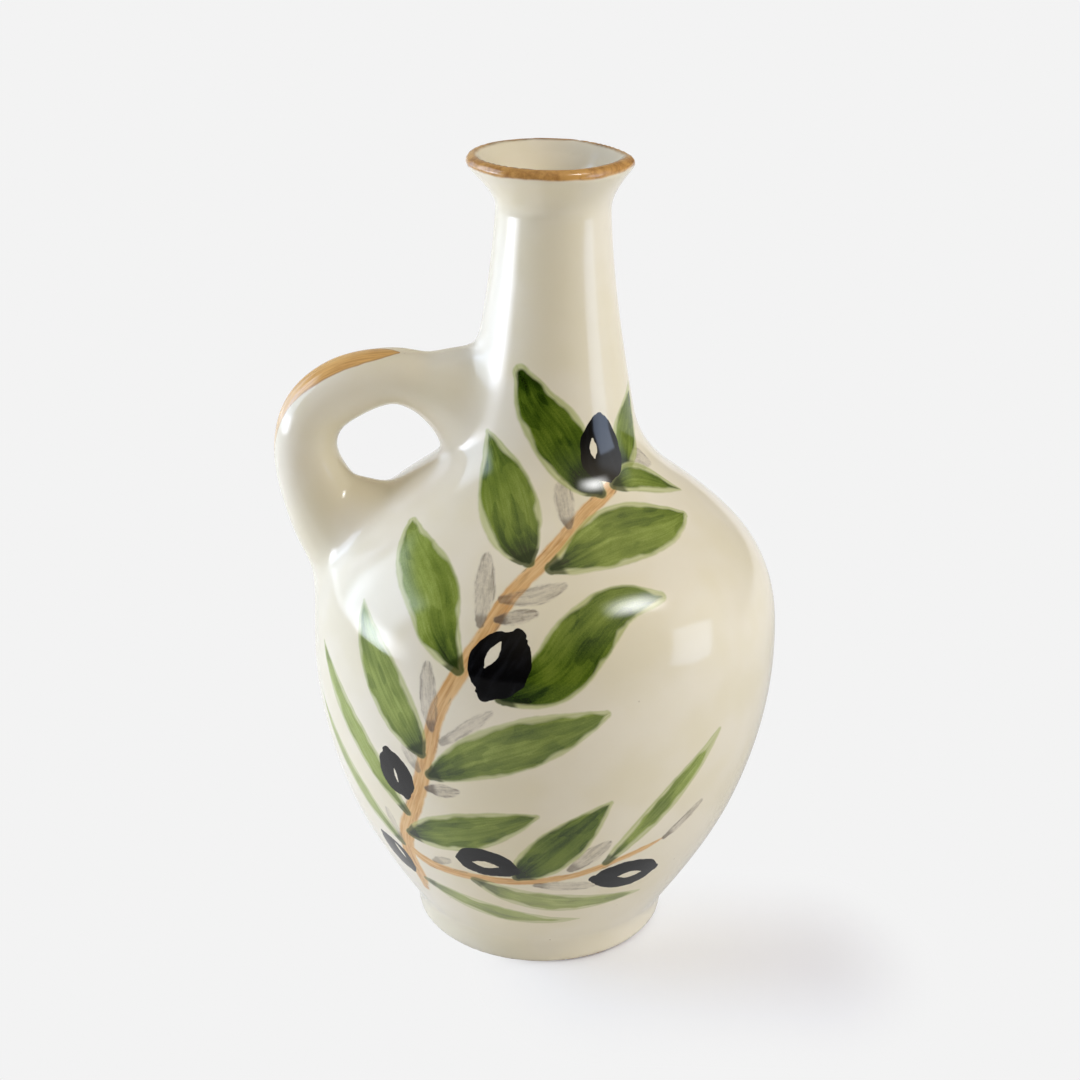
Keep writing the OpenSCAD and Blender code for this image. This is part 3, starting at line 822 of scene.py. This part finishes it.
# %% A stroke over the handle's crest
STRIPE_BAYS = (3.9, 7.1)
STRIPE_LEAN = math.radians(14)
STRIPE_END, STRIPE_SWELL = 0.25, 4.3
STRIPE_SEED = 9.0
stripe_rows = smooth_through(HANDLE_ROWS, PER_BAY)
stripe_out = ring_normals(stripe_rows) * math.cos(STRIPE_LEAN)
side_out = np.full(len(stripe_rows), -math.sin(STRIPE_LEAN))
crest_out = np.stack([stripe_out[:, 0], side_out, stripe_out[:, 1]], axis=1)
half_bar = stripe_rows[:, [2, 3, 2]] / 2
bar_middle = np.stack([stripe_rows[:, 0], 0 * side_out, stripe_rows[:, 1]], axis=1)
crest = bar_middle + crest_out * half_bar
first, last = (int(bay * PER_BAY) for bay in STRIPE_BAYS)


def stripe_half(t):
    """Half width of the stripe, fullest before the middle."""
    return STRIPE_END + STRIPE_SWELL * np.sin(np.pi * np.clip(t, 0, 1) ** 0.72) ** 0.9


crest_line = (crest[first:last], crest_out[first:last])
write_layer("stripe", [brush_line(crest_line, stripe_half, *paint, STRIPE_SEED)])
print("stripe over", last - first, "rows of the handle")

# %% [markdown]
# ## Materials: colours and one node helper
# Colours are written as sRGB hex, as a colour picker shows them, and turned to the linear values
# that light needs. One small function adds a node, sets it up and links it, so that a material
# reads like a recipe. Settings that many nodes share are kept under a name: EASE gives a map
# range soft ends, and LAYER makes a Mix node lay one colour over another. A Mix node has one
# pair of sockets for each kind of value, and its colours go in at 6 and 7.

# %% Colour and node helpers
EASE = {"interpolation_type": "SMOOTHSTEP"}
LAYER = {"data_type": "RGBA", "out": 2}
AMOUNT, BELOW, ABOVE = 0, 6, 7
PLUS, MINUS = {"operation": "ADD"}, {"operation": "SUBTRACT"}
TIMES, OVER = {"operation": "MULTIPLY"}, {"operation": "DIVIDE"}
AT_LEAST = {"operation": "MAXIMUM"}
STORED = {"attribute_type": "GEOMETRY", "out": 1}
tree = None


def srgb(code):
    """A hex colour as the linear values that nodes take."""
    values = [int(code[i:i + 2], 16) / 255 for i in (1, 3, 5)]
    linear = [v / 12.92 if v <= 0.04045 else ((v + 0.055) / 1.055) ** 2.4 for v in values]
    return (*linear, 1.0)


def add(kind, inputs=(), out=0, **settings):
    """Adds a shader node to the current tree, sets or links its inputs, and returns an output."""
    node = tree.nodes.new("ShaderNode" + kind)
    for name, value in settings.items():
        setattr(node, name, value)
    for key, value in inputs.items() if isinstance(inputs, dict) else enumerate(inputs):
        if isinstance(value, bpy.types.NodeSocket):
            tree.links.new(value, node.inputs[key])
        elif value is not None:
            node.inputs[key].default_value = value
    return node.outputs[out] if node.outputs else node


def new_material(name):
    """A new material, whose empty node tree becomes the current tree."""
    global tree
    material = bpy.data.materials.new(name)
    material.use_nodes = True
    tree = material.node_tree
    tree.nodes.clear()
    return material


print("white is", srgb("#FFFFFF"), "and middle grey", tuple(round(v, 3) for v in srgb("#808080")))

# %% [markdown]
# ## The cream glaze and its underglaze paint
# A tin-white earthenware glaze is glass with a warm tint, about 0.3 mm thick. It gives the eye a
# sharp clear reflection (IOR 1.5, very low roughness) over a soft creamy body. Wheel marks and
# the brush leave it a little wavy, over 10 to 20 mm. Underglaze paint is a thin wash: it shows
# each brush hair, pools to a dark spot where the brush sets down, and ends in a pale watery rim.
# The line of a single hair, 0.1 mm, is too fine to show here, so streaks are 0.7 to 0.9 mm wide.

# %% Reading a stroke's coordinates in the material
LEAST_LENGTH, LEAST_HALF = 0.01, 0.8
FLOW_HALF = 5.0


def read_stroke(name, wobble, wobble_mm):
    """Distance in from the edge in mm, share of the length, coordinates and tone of a layer.

    The edge wavers by up to wobble mm, in waves of wobble_mm.
    """
    place = add("Attribute", attribute_name=f"{name}_place", **STORED)
    look_at = add("Attribute", attribute_name=f"{name}_look", **STORED)
    tones = add("Attribute", attribute_name=f"{name}_tone", **STORED)
    along, across, half = add("SeparateXYZ", [place]).node.outputs
    length, seed, _ = add("SeparateXYZ", [look_at]).node.outputs
    dark, wash, _ = add("SeparateXYZ", [tones]).node.outputs
    share = add("Math", [along, add("Math", [length, LEAST_LENGTH], **AT_LEAST)], **OVER)
    beyond = add("Math", [along, length], **MINUS)
    past = add("Math", [beyond, add("Math", [along, -1.0], **TIMES)], **AT_LEAST)
    past = add("Math", [past, 0.0], **AT_LEAST)
    past_2 = add("Math", [past, past], **TIMES)
    across_2 = add("Math", [across, across], **TIMES)
    reach = add("Math", [add("Math", [past_2, across_2], **PLUS)], operation="SQRT")
    spot = add("CombineXYZ", [along, across, seed])
    flow = add("Math", [across, add("Math", [half, LEAST_HALF], **AT_LEAST)], **OVER)
    flow = add("CombineXYZ", [along, add("Math", [flow, FLOW_HALF], **TIMES), seed])
    fine = add("VectorMath", [spot, (1 / wobble_mm, 1 / wobble_mm, 1.0)], **TIMES)
    waver = add("TexNoise", {"Vector": fine, "Scale": 1.0, "Detail": 2.0, "Roughness": 0.6})
    waver = add("MapRange", [waver, 0.3, 0.7, -wobble, wobble])
    edge = add("Math", [add("Math", [half, reach], **MINUS), waver], **PLUS)
    return {"edge": edge, "share": share, "along": along, "dark": dark, "wash": wash,
            "spot": spot, "flow": flow}


def streaks(stroke, long_mm, wide_mm, detail=3.0, shift=0.0, kind="spot"):
    """Brush-hair noise, drawn out to long_mm along the stroke and wide_mm across it.

    With "flow" it also follows the outline, as if each stroke were twice FLOW_HALF wide.
    """
    stretch = (1 / long_mm, 1 / wide_mm, 1.0)
    v = add("VectorMath", [stroke[kind], stretch, (0, 0, shift)], operation="MULTIPLY_ADD")
    return add("TexNoise", {"Vector": v, "Scale": 1.0, "Detail": detail, "Roughness": 0.62})


print("a stroke can be read back in a material")

# %% [markdown]
# ### Paint recipes
# Each recipe takes the colour below, lays its paint over it and hands the result on. Distances
# are in millimetres from the stroke's edge, and tones run from 0, pale, to 1, dark.

# %% Green leaves
LEAF_TONES = [(0.25, "#93A54B"), (0.45, "#768930"), (0.65, "#566C1C"), (0.85, "#30460B")]
LEAF_PALEST, LEAF_DARKEST = "#B0BD6E", "#182803"


def leaf_tone(s, hair):
    """How dark a leaf is: hairs, pools, a second crisp wash and grain, darker at both ends."""
    patch = streaks(s, 14.0, 6.0, 2.0, 7.7)
    wash = add("MapRange", [streaks(s, 12.0, 4.5, 1.5, 3.1), 0.53, 0.57], **EASE)
    grain = {"Vector": s["spot"], "Scale": 2.9, "Detail": 3.0, "Roughness": 0.75}
    parts = [
        add("MapRange", [hair, 0.3, 0.7, -0.12, 0.08]),
        add("MapRange", [patch, 0.32, 0.68, -0.14, 0.15]),
        add("Math", [wash, 0.13], **TIMES),
        add("MapRange", [add("TexNoise", grain), 0.3, 0.7, -0.08, 0.08]),
        s["dark"],
        add("MapRange", [s["share"], 0.03, 0.3, 0.42, 0.0], **EASE),
        add("MapRange", [s["share"], 0.8, 1.0, 0.0, 0.12], **EASE),
    ]
    tone = parts[0]
    for part in parts[1:]:
        tone = add("Math", [tone, part], **PLUS)
    return tone


def paint_leaf(under, name):
    """A pale watery rim, a streaky body inside it, and a dark spot where the brush set down."""
    s = read_stroke(name, 0.22, 6.0)
    rim_width = add("MapRange", [streaks(s, 9.0, 30.0, 1.0, 4.1), 0.35, 0.65, 0.45, 1.7])
    inner = add("Math", [s["edge"], rim_width], **MINUS)
    hair = streaks(s, 26.0, 0.8, 3.0, 0.0, "flow")
    ramp = add("ValToRGB", [leaf_tone(s, hair)])
    bar = ramp.node.color_ramp
    bar.elements[0].position, bar.elements[0].color = 0.0, srgb(LEAF_PALEST)
    bar.elements[1].position, bar.elements[1].color = 1.0, srgb(LEAF_DARKEST)
    for place, code in LEAF_TONES:
        bar.elements.new(place).color = srgb(code)
    soft_edge = add("MapRange", [s["edge"], -0.3, 0.45], **EASE)
    halo = add("Math", [soft_edge, add("Math", [s["wash"], 0.74], **TIMES)], **TIMES)
    fill = add("Math", [add("MapRange", [inner, -0.45, 0.6], **EASE), s["wash"]], **TIMES)
    start = add("MapRange", [s["along"], 3.4, 1.9], **EASE)
    blob = add("Math", [start, add("MapRange", [s["edge"], -0.2, 0.35], **EASE)], **TIMES)
    blob = add("Math", [blob, add("Math", [s["wash"], 0.8], **TIMES)], **TIMES)
    hairy = add("MapRange", [hair, 0.35, 0.65], **EASE)
    pale = add("Mix", {AMOUNT: hairy, BELOW: srgb("#BFC684"), ABOVE: srgb("#A5B061")}, **LAYER)
    out = add("Mix", {AMOUNT: halo, BELOW: under, ABOVE: pale}, **LAYER)
    out = add("Mix", {AMOUNT: fill, BELOW: out, ABOVE: ramp}, **LAYER)
    return add("Mix", {AMOUNT: blob, BELOW: out, ABOVE: srgb("#20300E")}, **LAYER)


print(len(LEAF_TONES) + 2, "greens from pale to dark")

# %% Ochre twigs and the stripe on the handle
def paint_twig(under):
    """A pale edge, an ochre line with darker runs, and grey marks where it crosses wet buds."""
    s = read_stroke("twig", 0.25, 5.0)
    hair = add("MapRange", [streaks(s, 12.0, 0.7, 3.0), 0.36, 0.68], **EASE)
    deep = add("MapRange", [streaks(s, 8.0, 1.6, 2.0, 3.3), 0.52, 0.7], **EASE)
    deep = add("Math", [deep, 0.42], **TIMES)
    line = add("Mix", {AMOUNT: hair, BELOW: srgb("#E9C188"), ABOVE: srgb("#D29A55")}, **LAYER)
    line = add("Mix", {AMOUNT: deep, BELOW: line, ABOVE: srgb("#AE7030")}, **LAYER)
    wide = add("Math", [add("MapRange", [s["edge"], -0.4, 0.3], **EASE), 0.6], **TIMES)
    core = add("Math", [add("MapRange", [s["edge"], -0.1, 0.55], **EASE), 0.9], **TIMES)
    rim = add("MapRange", [s["edge"], 1.0, 0.4], **EASE)
    marks = add("MapRange", [streaks(s, 6.0, 2.0, 3.0, 8.8), 0.57, 0.66], **EASE)
    marks = add("Math", [marks, rim], **TIMES)
    marks = add("Math", [marks, add("MapRange", [s["edge"], 0.0, 0.3], **EASE)], **TIMES)
    marks = add("Math", [marks, 0.55], **TIMES)
    out = add("Mix", {AMOUNT: wide, BELOW: under, ABOVE: srgb("#E8CC9E")}, **LAYER)
    out = add("Mix", {AMOUNT: core, BELOW: out, ABOVE: line}, **LAYER)
    return add("Mix", {AMOUNT: marks, BELOW: out, ABOVE: srgb("#86705A")}, **LAYER)


def paint_stripe(under):
    """An ochre stroke with a burnt edge that thins out down the handle."""
    s = read_stroke("stripe", 0.2, 9.0)
    hair = add("MapRange", [streaks(s, 10.0, 0.8, 3.0), 0.38, 0.68], **EASE)
    burnt = add("Math", [add("MapRange", [s["edge"], 0.9, 0.1], **EASE), 0.7], **TIMES)
    tint = add("Mix", {AMOUNT: hair, BELOW: srgb("#EAB766"), ABOVE: srgb("#CF9648")}, **LAYER)
    tint = add("Mix", {AMOUNT: burnt, BELOW: tint, ABOVE: srgb("#9A6530")}, **LAYER)
    fading = add("MapRange", [s["share"], 0.5, 1.0, 0.9, 0.3])
    amount = add("Math", [add("MapRange", [s["edge"], -0.1, 0.4], **EASE), fading], **TIMES)
    return add("Mix", {AMOUNT: amount, BELOW: under, ABOVE: tint}, **LAYER)


print("two ochre strokes")

# %% Grey buds and black olives
def paint_bud(under):
    """A thin grey wash, brushed and cloudy, with ink along its edge and at its stalk end."""
    s = read_stroke("bud", 0.22, 3.0)
    clouds = {"Vector": s["spot"], "Scale": 1.1, "Detail": 4.0, "Roughness": 0.7}
    cloud = add("TexNoise", clouds)
    brushed = streaks(s, 5.0, 0.9, 3.0, 2.2)
    hair = add("MapRange", [brushed, 0.38, 0.68], **EASE)
    tint = add("Mix", {AMOUNT: hair, BELOW: srgb("#A89C90"), ABOVE: srgb("#7E7063")}, **LAYER)
    body_wash = add("MapRange", [add("Math", [cloud, brushed], **PLUS), 0.75, 1.3, 0.4, 0.95])
    soft_edge = add("MapRange", [s["edge"], -0.4, 0.6], **EASE)
    amount = add("Math", [add("Math", [soft_edge, body_wash], **TIMES), s["wash"]], **TIMES)
    out = add("Mix", {AMOUNT: amount, BELOW: under, ABOVE: tint}, **LAYER)
    inside = add("MapRange", [s["edge"], -0.1, 0.3], **EASE)
    line = add("Math", [inside, add("MapRange", [s["edge"], 1.0, 0.4], **EASE)], **TIMES)
    line = add("Math", [line, add("MapRange", [brushed, 0.42, 0.6], **EASE)], **TIMES)
    start = add("MapRange", [s["along"], 3.2, 1.4], **EASE)
    end = add("Math", [start, add("MapRange", [s["edge"], -0.1, 0.4], **EASE)], **TIMES)
    line, end = add("Math", [line, 0.5], **TIMES), add("Math", [end, 0.8], **TIMES)
    strength = add("MapRange", [s["dark"], 0.2, 0.8, 0.4, 1.0])
    ink = add("Math", [add("Math", [line, end], **AT_LEAST), strength], **TIMES)
    return add("Mix", {AMOUNT: ink, BELOW: out, ABOVE: srgb("#5E5148")}, **LAYER)


def paint_olive(under, bare):
    """Thick black with a crisp edge, and a spot where the bare glaze shines through."""
    s = read_stroke("olive", 0.28, 5.0)
    hair = add("MapRange", [streaks(s, 8.0, 1.5, 2.0), 0.45, 0.7], **EASE)
    black = add("Mix", {AMOUNT: hair, BELOW: srgb("#08080A"), ABOVE: srgb("#16171B")}, **LAYER)
    crisp = add("MapRange", [s["edge"], -0.08, 0.12], **EASE)
    out = add("Mix", {AMOUNT: crisp, BELOW: under, ABOVE: black}, **LAYER)
    spot = read_stroke("spot", 0.1, 1.5)
    shine = add("MapRange", [spot["edge"], -0.07, 0.1], **EASE)
    return add("Mix", {AMOUNT: shine, BELOW: out, ABOVE: bare}, **LAYER)


print("buds and olives")

# %% [markdown]
# ### The glaze itself
# The bare glaze comes first: cream with clouds of 22 mm and iron specks, one for every 7 mm at
# most. All strokes are laid on it, then the band on the lip, which burns dark on its inner edge,
# and the raw clay where the foot was wiped clean. Waves of 16 mm and a fine peel bend the
# reflections. A real peel is half a millimetre wide, too fine for the render, so it is drawn
# 1.3 mm wide.

# %% Bare glaze and the painted branch
CLOUD, SPECK = 22 * MM, 7 * MM
glaze = new_material("tin-white earthenware glaze, hand painted")
place = add("TexCoord", out=3)
clouds = {"Vector": place, "Scale": 1 / CLOUD, "Detail": 2.0, "Roughness": 0.5}
cloudy = add("TexNoise", clouds)
cream = add("MapRange", [cloudy, 0.35, 0.65], **EASE)
bare = add("Mix", {AMOUNT: cream, BELOW: srgb("#EDE5CD"), ABOVE: srgb("#F1EAD8")}, **LAYER)
cells = {"Vector": place, "Scale": 1 / SPECK, "Randomness": 1.0}
speck = add("MapRange", [add("TexVoronoi", cells, feature="F1"), 0.045, 0.02], **EASE)
speck = add("Math", [speck, add("MapRange", [cloudy, 0.5, 0.56], **EASE)], **TIMES)
speck = add("Math", [speck, 0.55], **TIMES)
colour = add("Mix", {AMOUNT: speck, BELOW: bare, ABOVE: srgb("#9B8B72")}, **LAYER)
colour = paint_twig(colour)
colour = paint_bud(colour)
for n in range(len(leaf_layers)):
    colour = paint_leaf(colour, f"leaf{n}")
colour = paint_olive(colour, bare)
colour = paint_stripe(colour)
print("branch painted:", len(tree.nodes), "nodes")

# %% The band on the lip
BAND_FROM, BAND_TO = -0.55, 3.5
MOTTLE, DRIFT, RAG = 2.2 * MM, 9 * MM, 7 * MM
lip = add("Attribute", attribute_name="rim_way", attribute_type="GEOMETRY", out=2)
mottles = {"Vector": place, "Scale": 1 / MOTTLE, "Detail": 4.0, "Roughness": 0.65}
mottle = add("TexNoise", mottles)
drift = add("TexNoise", {"Vector": place, "Scale": 1 / DRIFT, "Detail": 1.0})
ragged = add("TexNoise", {"Vector": place, "Scale": 1 / RAG, "Detail": 1.0})
ragged = add("MapRange", [ragged, 0.3, 0.7, -0.22, 0.22])
low_edge = add("Math", [add("Math", [lip, -BAND_FROM], **PLUS), ragged], **PLUS)
high_edge = add("Math", [add("Math", [BAND_TO, lip], **MINUS), ragged], **PLUS)
low_edge = add("MapRange", [low_edge, -0.3, 0.35], **EASE)
high_edge = add("MapRange", [high_edge, -0.6, 0.7], **EASE)
band = add("Math", [add("Math", [low_edge, high_edge], **TIMES), 0.93], **TIMES)
brown = add("Math", [mottle, 0.7], **TIMES)
brown = add("Math", [brown, add("Math", [drift, 0.5], **TIMES)], **PLUS)
brown = add("MapRange", [brown, 0.5, 0.74], **EASE)
ochre = add("Mix", {AMOUNT: brown, BELOW: srgb("#CF9A4C"), ABOVE: srgb("#A26A22")}, **LAYER)
inner_edge = add("MapRange", [lip, 2.2, 3.4], **EASE)
burnt = add("Math", [inner_edge, add("MapRange", [drift, 0.35, 0.6, 0.35, 0.85])], **TIMES)
ochre = add("Mix", {AMOUNT: burnt, BELOW: ochre, ABOVE: srgb("#6B4520")}, **LAYER)
colour = add("Mix", {AMOUNT: band, BELOW: colour, ABOVE: ochre}, **LAYER)
print("with the band:", len(tree.nodes), "nodes")

# %% The raw clay on the foot's edge
RAW_TO, GLAZED_FROM, UNEVEN = 0.55 * MM, 0.9 * MM, 0.25 * MM
height = add("SeparateXYZ", [place]).node.outputs[2]
rough_line = add("MapRange", [mottle, 0.3, 0.7, -UNEVEN, UNEVEN])
raw = add("Math", [height, rough_line], **PLUS)
raw = add("MapRange", [raw, GLAZED_FROM, RAW_TO], **EASE)
sandy = add("MapRange", [mottle, 0.4, 0.65], **EASE)
clay = add("Mix", {AMOUNT: sandy, BELOW: srgb("#A98562"), ABOVE: srgb("#8C6A4C")}, **LAYER)
colour = add("Mix", {AMOUNT: raw, BELOW: colour, ABOVE: clay}, **LAYER)
print("with the foot:", len(tree.nodes), "nodes")

# %% Waves, gloss and the shader
WAVE, WAVE_HEIGHT = 16 * MM, 0.12 * MM
PEEL, PEEL_HEIGHT = 1.3 * MM, 0.0016 * MM
IOR, RAW_ROUGHNESS = 1.5, 0.8
waves = {"Vector": place, "Scale": 1 / WAVE, "Detail": 1.0, "Roughness": 0.4}
peels = {"Vector": place, "Scale": 1 / PEEL, "Detail": 2.0, "Roughness": 0.5}
wave = add("Math", [add("TexNoise", waves), WAVE_HEIGHT], **TIMES)
peel = add("Math", [add("TexNoise", peels), PEEL_HEIGHT], **TIMES)
relief = add("Math", [wave, peel], **PLUS)
bump = add("Bump", {"Height": relief, "Strength": 1.0, "Distance": 1.0})
gloss = add("MapRange", [cloudy, 0.3, 0.7, 0.07, 0.11])
rough = add("Mix", {AMOUNT: raw, 2: gloss, 3: RAW_ROUGHNESS}, data_type="FLOAT", out=0)
finish = {"Base Color": colour, "Roughness": rough, "IOR": IOR, "Normal": bump}
add("OutputMaterial", [add("BsdfPrincipled", finish)])
body.data.materials.clear()
body.data.materials.append(glaze)
print("glaze material:", len(tree.nodes), "nodes")

# %% [markdown]
# ## Hand the piece over
# The new skin stands for the clay and for all six painted films of the CAD model.

# %% Ride and replace
jug = body
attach(jug, "root")
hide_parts("jug", "rim_paint", "handle_paint", "leaves", "twigs", "olives", "buds")
print(jug.name, "has", sum(len(p.vertices) - 2 for p in jug.data.polygons), "triangles")

# %% [markdown]
# ## Floor and light
# The floor is pale and endless. Beside the jug, in a patch that a mask places and shapes, it is an
# ordinary matt surface that takes the lamps' soft shadow, with a little glow. The patch stays
# darker than the background even where no shadow falls, so it is partly a painted shadow, and
# towards its right end it is painted lighter and bluer. Around that it fades to the plain
# background colour itself, so that no lamp has to be turned up for a white page. The jug gets its
# light from below off a slightly warmer white. Glaze shows all that stands around it, so glossy
# rays see the floor with light and shade painted into its glow, as a room would light it: dimmer
# under the jug, and dark far in front, where a real table ends. The paper's fibres are finer than
# a pixel, and its grain is drawn 0.8 mm wide so that it shows.

# %% The floor as the camera sees it
BACKGROUND = "#F3F3F3"
SHADOW_X, SHADOW_Y, SHADOW_HALF = 0.045, -0.031, 0.027
FADE_X, FADE_Y = 0.036, 0.045
SHADOW_END_FROM, SHADOW_END_TO = 0.03, 0.085
GLOW, GLOW_SHADOW_END = 0.115, 0.138
GRAIN = 0.8 * MM
bpy.ops.mesh.primitive_plane_add(size=12)
floor = bpy.context.object
floor.name = "floor"
paper = new_material("matt white paper sweep")
here = add("TexCoord", out=3)
x, y, _ = add("SeparateXYZ", [here]).node.outputs
grain = add("TexNoise", {"Vector": here, "Scale": 1 / GRAIN, "Detail": 2.0})
# Painted shade: towards the right end of the painted shadow the floor turns bluer and its glow
# stronger, so that end is lighter
deep = add("MapRange", [x, SHADOW_END_FROM, SHADOW_END_TO], **EASE)
white = add("Mix", {AMOUNT: grain, BELOW: srgb("#EFF2FB"), ABOVE: srgb("#F1F4FD")}, **LAYER)
white = add("Mix", {AMOUNT: deep, BELOW: white, ABOVE: srgb("#ECF0FF")}, **LAYER)
matt = add("BsdfDiffuse", {"Color": white})
bounce = add("BsdfDiffuse", {"Color": srgb("#FAF7F0")})
glow = add("MapRange", [deep, 0.0, 1.0, GLOW, GLOW_SHADOW_END])
matt_in_painted_shadow = add("AddShader", [matt, add("Emission", {"Color": srgb("#FFFFFF"), "Strength": glow})])

# Painted shadow: inside this patch beside the foot the matt floor shows, darker than the
# background; outside it the floor is the plain background colour
beside = add("Math", [add("Math", [x, SHADOW_X], **MINUS)], operation="ABSOLUTE")
beside = add("Math", [add("Math", [beside, SHADOW_HALF], **MINUS), 0.0], **AT_LEAST)
before = add("Math", [y, SHADOW_Y], **MINUS)
beside, before = add("Math", [beside, FADE_X], **OVER), add("Math", [before, FADE_Y], **OVER)
away = add("VectorMath", [add("CombineXYZ", [beside, before])], operation="LENGTH", out=1)
plain = add("Emission", {"Color": srgb(BACKGROUND), "Strength": 1.0})
shown = add("MixShader", [add("MapRange", [away, 0.0, 1.0], **EASE), matt_in_painted_shadow, plain])
print("floor material so far:", len(tree.nodes), "nodes")

# %% The floor as the glaze mirrors it
LIT_LEFT, LIT_RIGHT, LIT_FAR, LIT_FRONT = 0.98, 0.6, 0.95, 0.12
LEFT_X, RIGHT_X = -0.09, 0.02
NEAR_R, FAR_R = 0.13, 0.4
TABLE_END, TABLE_LIT = -0.42, -0.17
# Painted light and shade in the floor's glow as the glaze mirrors it: brighter to the left of the
# jug, dimmer near it and to its right, and dark far in front
distance = add("VectorMath", [here], operation="LENGTH", out=1)
near = add("MapRange", [x, LEFT_X, RIGHT_X, LIT_LEFT, LIT_RIGHT], **EASE)
lit = add("MapRange", [distance, NEAR_R, FAR_R, near, LIT_FAR], **EASE)
front = add("MapRange", [y, TABLE_END, TABLE_LIT, LIT_FRONT, 1.0], **EASE)
lit = add("Math", [lit, front], **TIMES)
mirrored = add("Emission", {"Color": srgb(BACKGROUND), "Strength": lit})
path = add("LightPath").node.outputs
seen = add("Math", [path["Is Camera Ray"], path["Is Transmission Ray"]], **AT_LEAST)
result = add("MixShader", [seen, bounce, shown])
add("OutputMaterial", [add("MixShader", [path["Is Glossy Ray"], result, mirrored])])
floor.data.materials.append(paper)
print("floor:", floor.dimensions[0], "m wide")

# %% [markdown]
# A big soft box stands on the left and is reflected as the broad white shine on that flank. A
# weaker one behind it and a low sheet carry that shine round the back and down to the foot. A
# window and a larger, weaker sheet stand on the right, and a small bright lamp makes the spark.
# All the rest is the room, in soft patches: dim in front, brighter behind, above and to the right.
# The room lights the glaze and is mirrored in it, and the camera sees the plain background.

# %% Lamps: name, place, size, watts, share of the half side that fades, colour, roll in degrees
LAMP_AIM = Vector((0, 0, 0.1))
LAMPS = [
    ("left soft box", (-1.1, 0.1, 0.45), (1.0, 1.1), 9.0, 0.4, "#D4E5FF", 0),
    ("back left soft box", (-0.9, 0.55, 0.2), (0.9, 0.9), 2.2, 0.5, "#D8E7FF", 0),
    ("low left sheet", (-1.0, -0.1, 0.09), (0.85, 0.42), 3.5, 0.9, "#ECF1FF", 0),
    ("window", (1.0, -0.28, 0.22), (0.48, 0.5), 1.8, 0.2, "#CBDEFF", -20),
    ("right sheet", (1.1, -0.1, 0.4), (1.0, 1.0), 1.6, 0.5, "#DCEAFF", 0),
    ("glare strip", (0.59, -0.32, 0.83), (0.6, 0.24), 2.5, 1.0, "#FFFFFF", -22),
]


def soft_light(name, place, size, power, soft, colour, roll):
    """An area lamp that grows dim towards its edge, as a real soft box does."""
    global tree
    data = bpy.data.lights.new(name, "AREA")
    data.shape = "RECTANGLE"
    data.size, data.size_y = size
    data.energy = power
    lamp = bpy.data.objects.new(name, data)
    bpy.context.scene.collection.objects.link(lamp)
    lamp.location = place
    turned_to = (LAMP_AIM - Vector(place)).to_track_quat("-Z", "Y")
    lamp.rotation_euler = (turned_to @ Quaternion((0, 0, 1), math.radians(roll))).to_euler()
    lamp.visible_camera = False
    data.use_nodes = True
    tree = data.node_tree
    tree.nodes.clear()
    spread = add("VectorMath", [add("NewGeometry", out=5), (0.5, 0.5, 0.0)], **MINUS)
    spread = add("VectorMath", [spread], operation="ABSOLUTE")
    u, v, _ = add("SeparateXYZ", [spread]).node.outputs
    u = add("MapRange", [u, 0.5, 0.5 - 0.5 * soft], **EASE)
    v = add("MapRange", [v, 0.5, 0.5 - 0.5 * soft], **EASE)
    fade = add("Math", [add("Math", [u, v], **TIMES), (1 - 0.5 * soft) ** 2], **OVER)
    add("OutputLight", [add("Emission", {"Color": srgb(colour), "Strength": fade})])


for lamp in LAMPS:
    soft_light(*lamp)

# %% The room: azimuth from front to right, elevation, and brightness of each soft patch
ROOM = [
    (-135, 12, 0.45), (180, 12, 0.65), (0, 90, 0.55), (0, 45, 0.17), (45, 45, 0.5),
    (90, 12, 0.37), (90, 45, 0.7),
]
PATCH_FOCUS = 8.0
world = bpy.data.worlds.new("studio")
bpy.context.scene.world = world
world.use_nodes = True
tree = world.node_tree
tree.nodes.clear()
way = add("TexCoord", out=0)
glow = None
for azimuth, elevation, bright in ROOM:
    a, e = math.radians(azimuth), math.radians(elevation)
    middle = (math.sin(a) * math.cos(e), -math.cos(a) * math.cos(e), math.sin(e))
    patch = add("VectorMath", [way, middle], operation="DOT_PRODUCT", out=1)
    patch = add("Math", [patch, 0.0], **AT_LEAST)
    patch = add("Math", [patch, PATCH_FOCUS], operation="POWER")
    patch = add("Math", [patch, bright], **TIMES)
    glow = patch if glow is None else add("Math", [glow, patch], **PLUS)
room = add("Background", {"Color": srgb("#FFEFD2"), "Strength": glow})
plain = add("Background", {"Color": srgb(BACKGROUND), "Strength": 1.0})
path = add("LightPath").node.outputs
seen = add("Math", [path["Is Camera Ray"], path["Is Transmission Ray"]], **AT_LEAST)
add("OutputWorld", [add("MixShader", [seen, room, plain])])
bpy.context.scene.view_settings.view_transform = "Standard"
print("room:", len(ROOM), "soft patches")
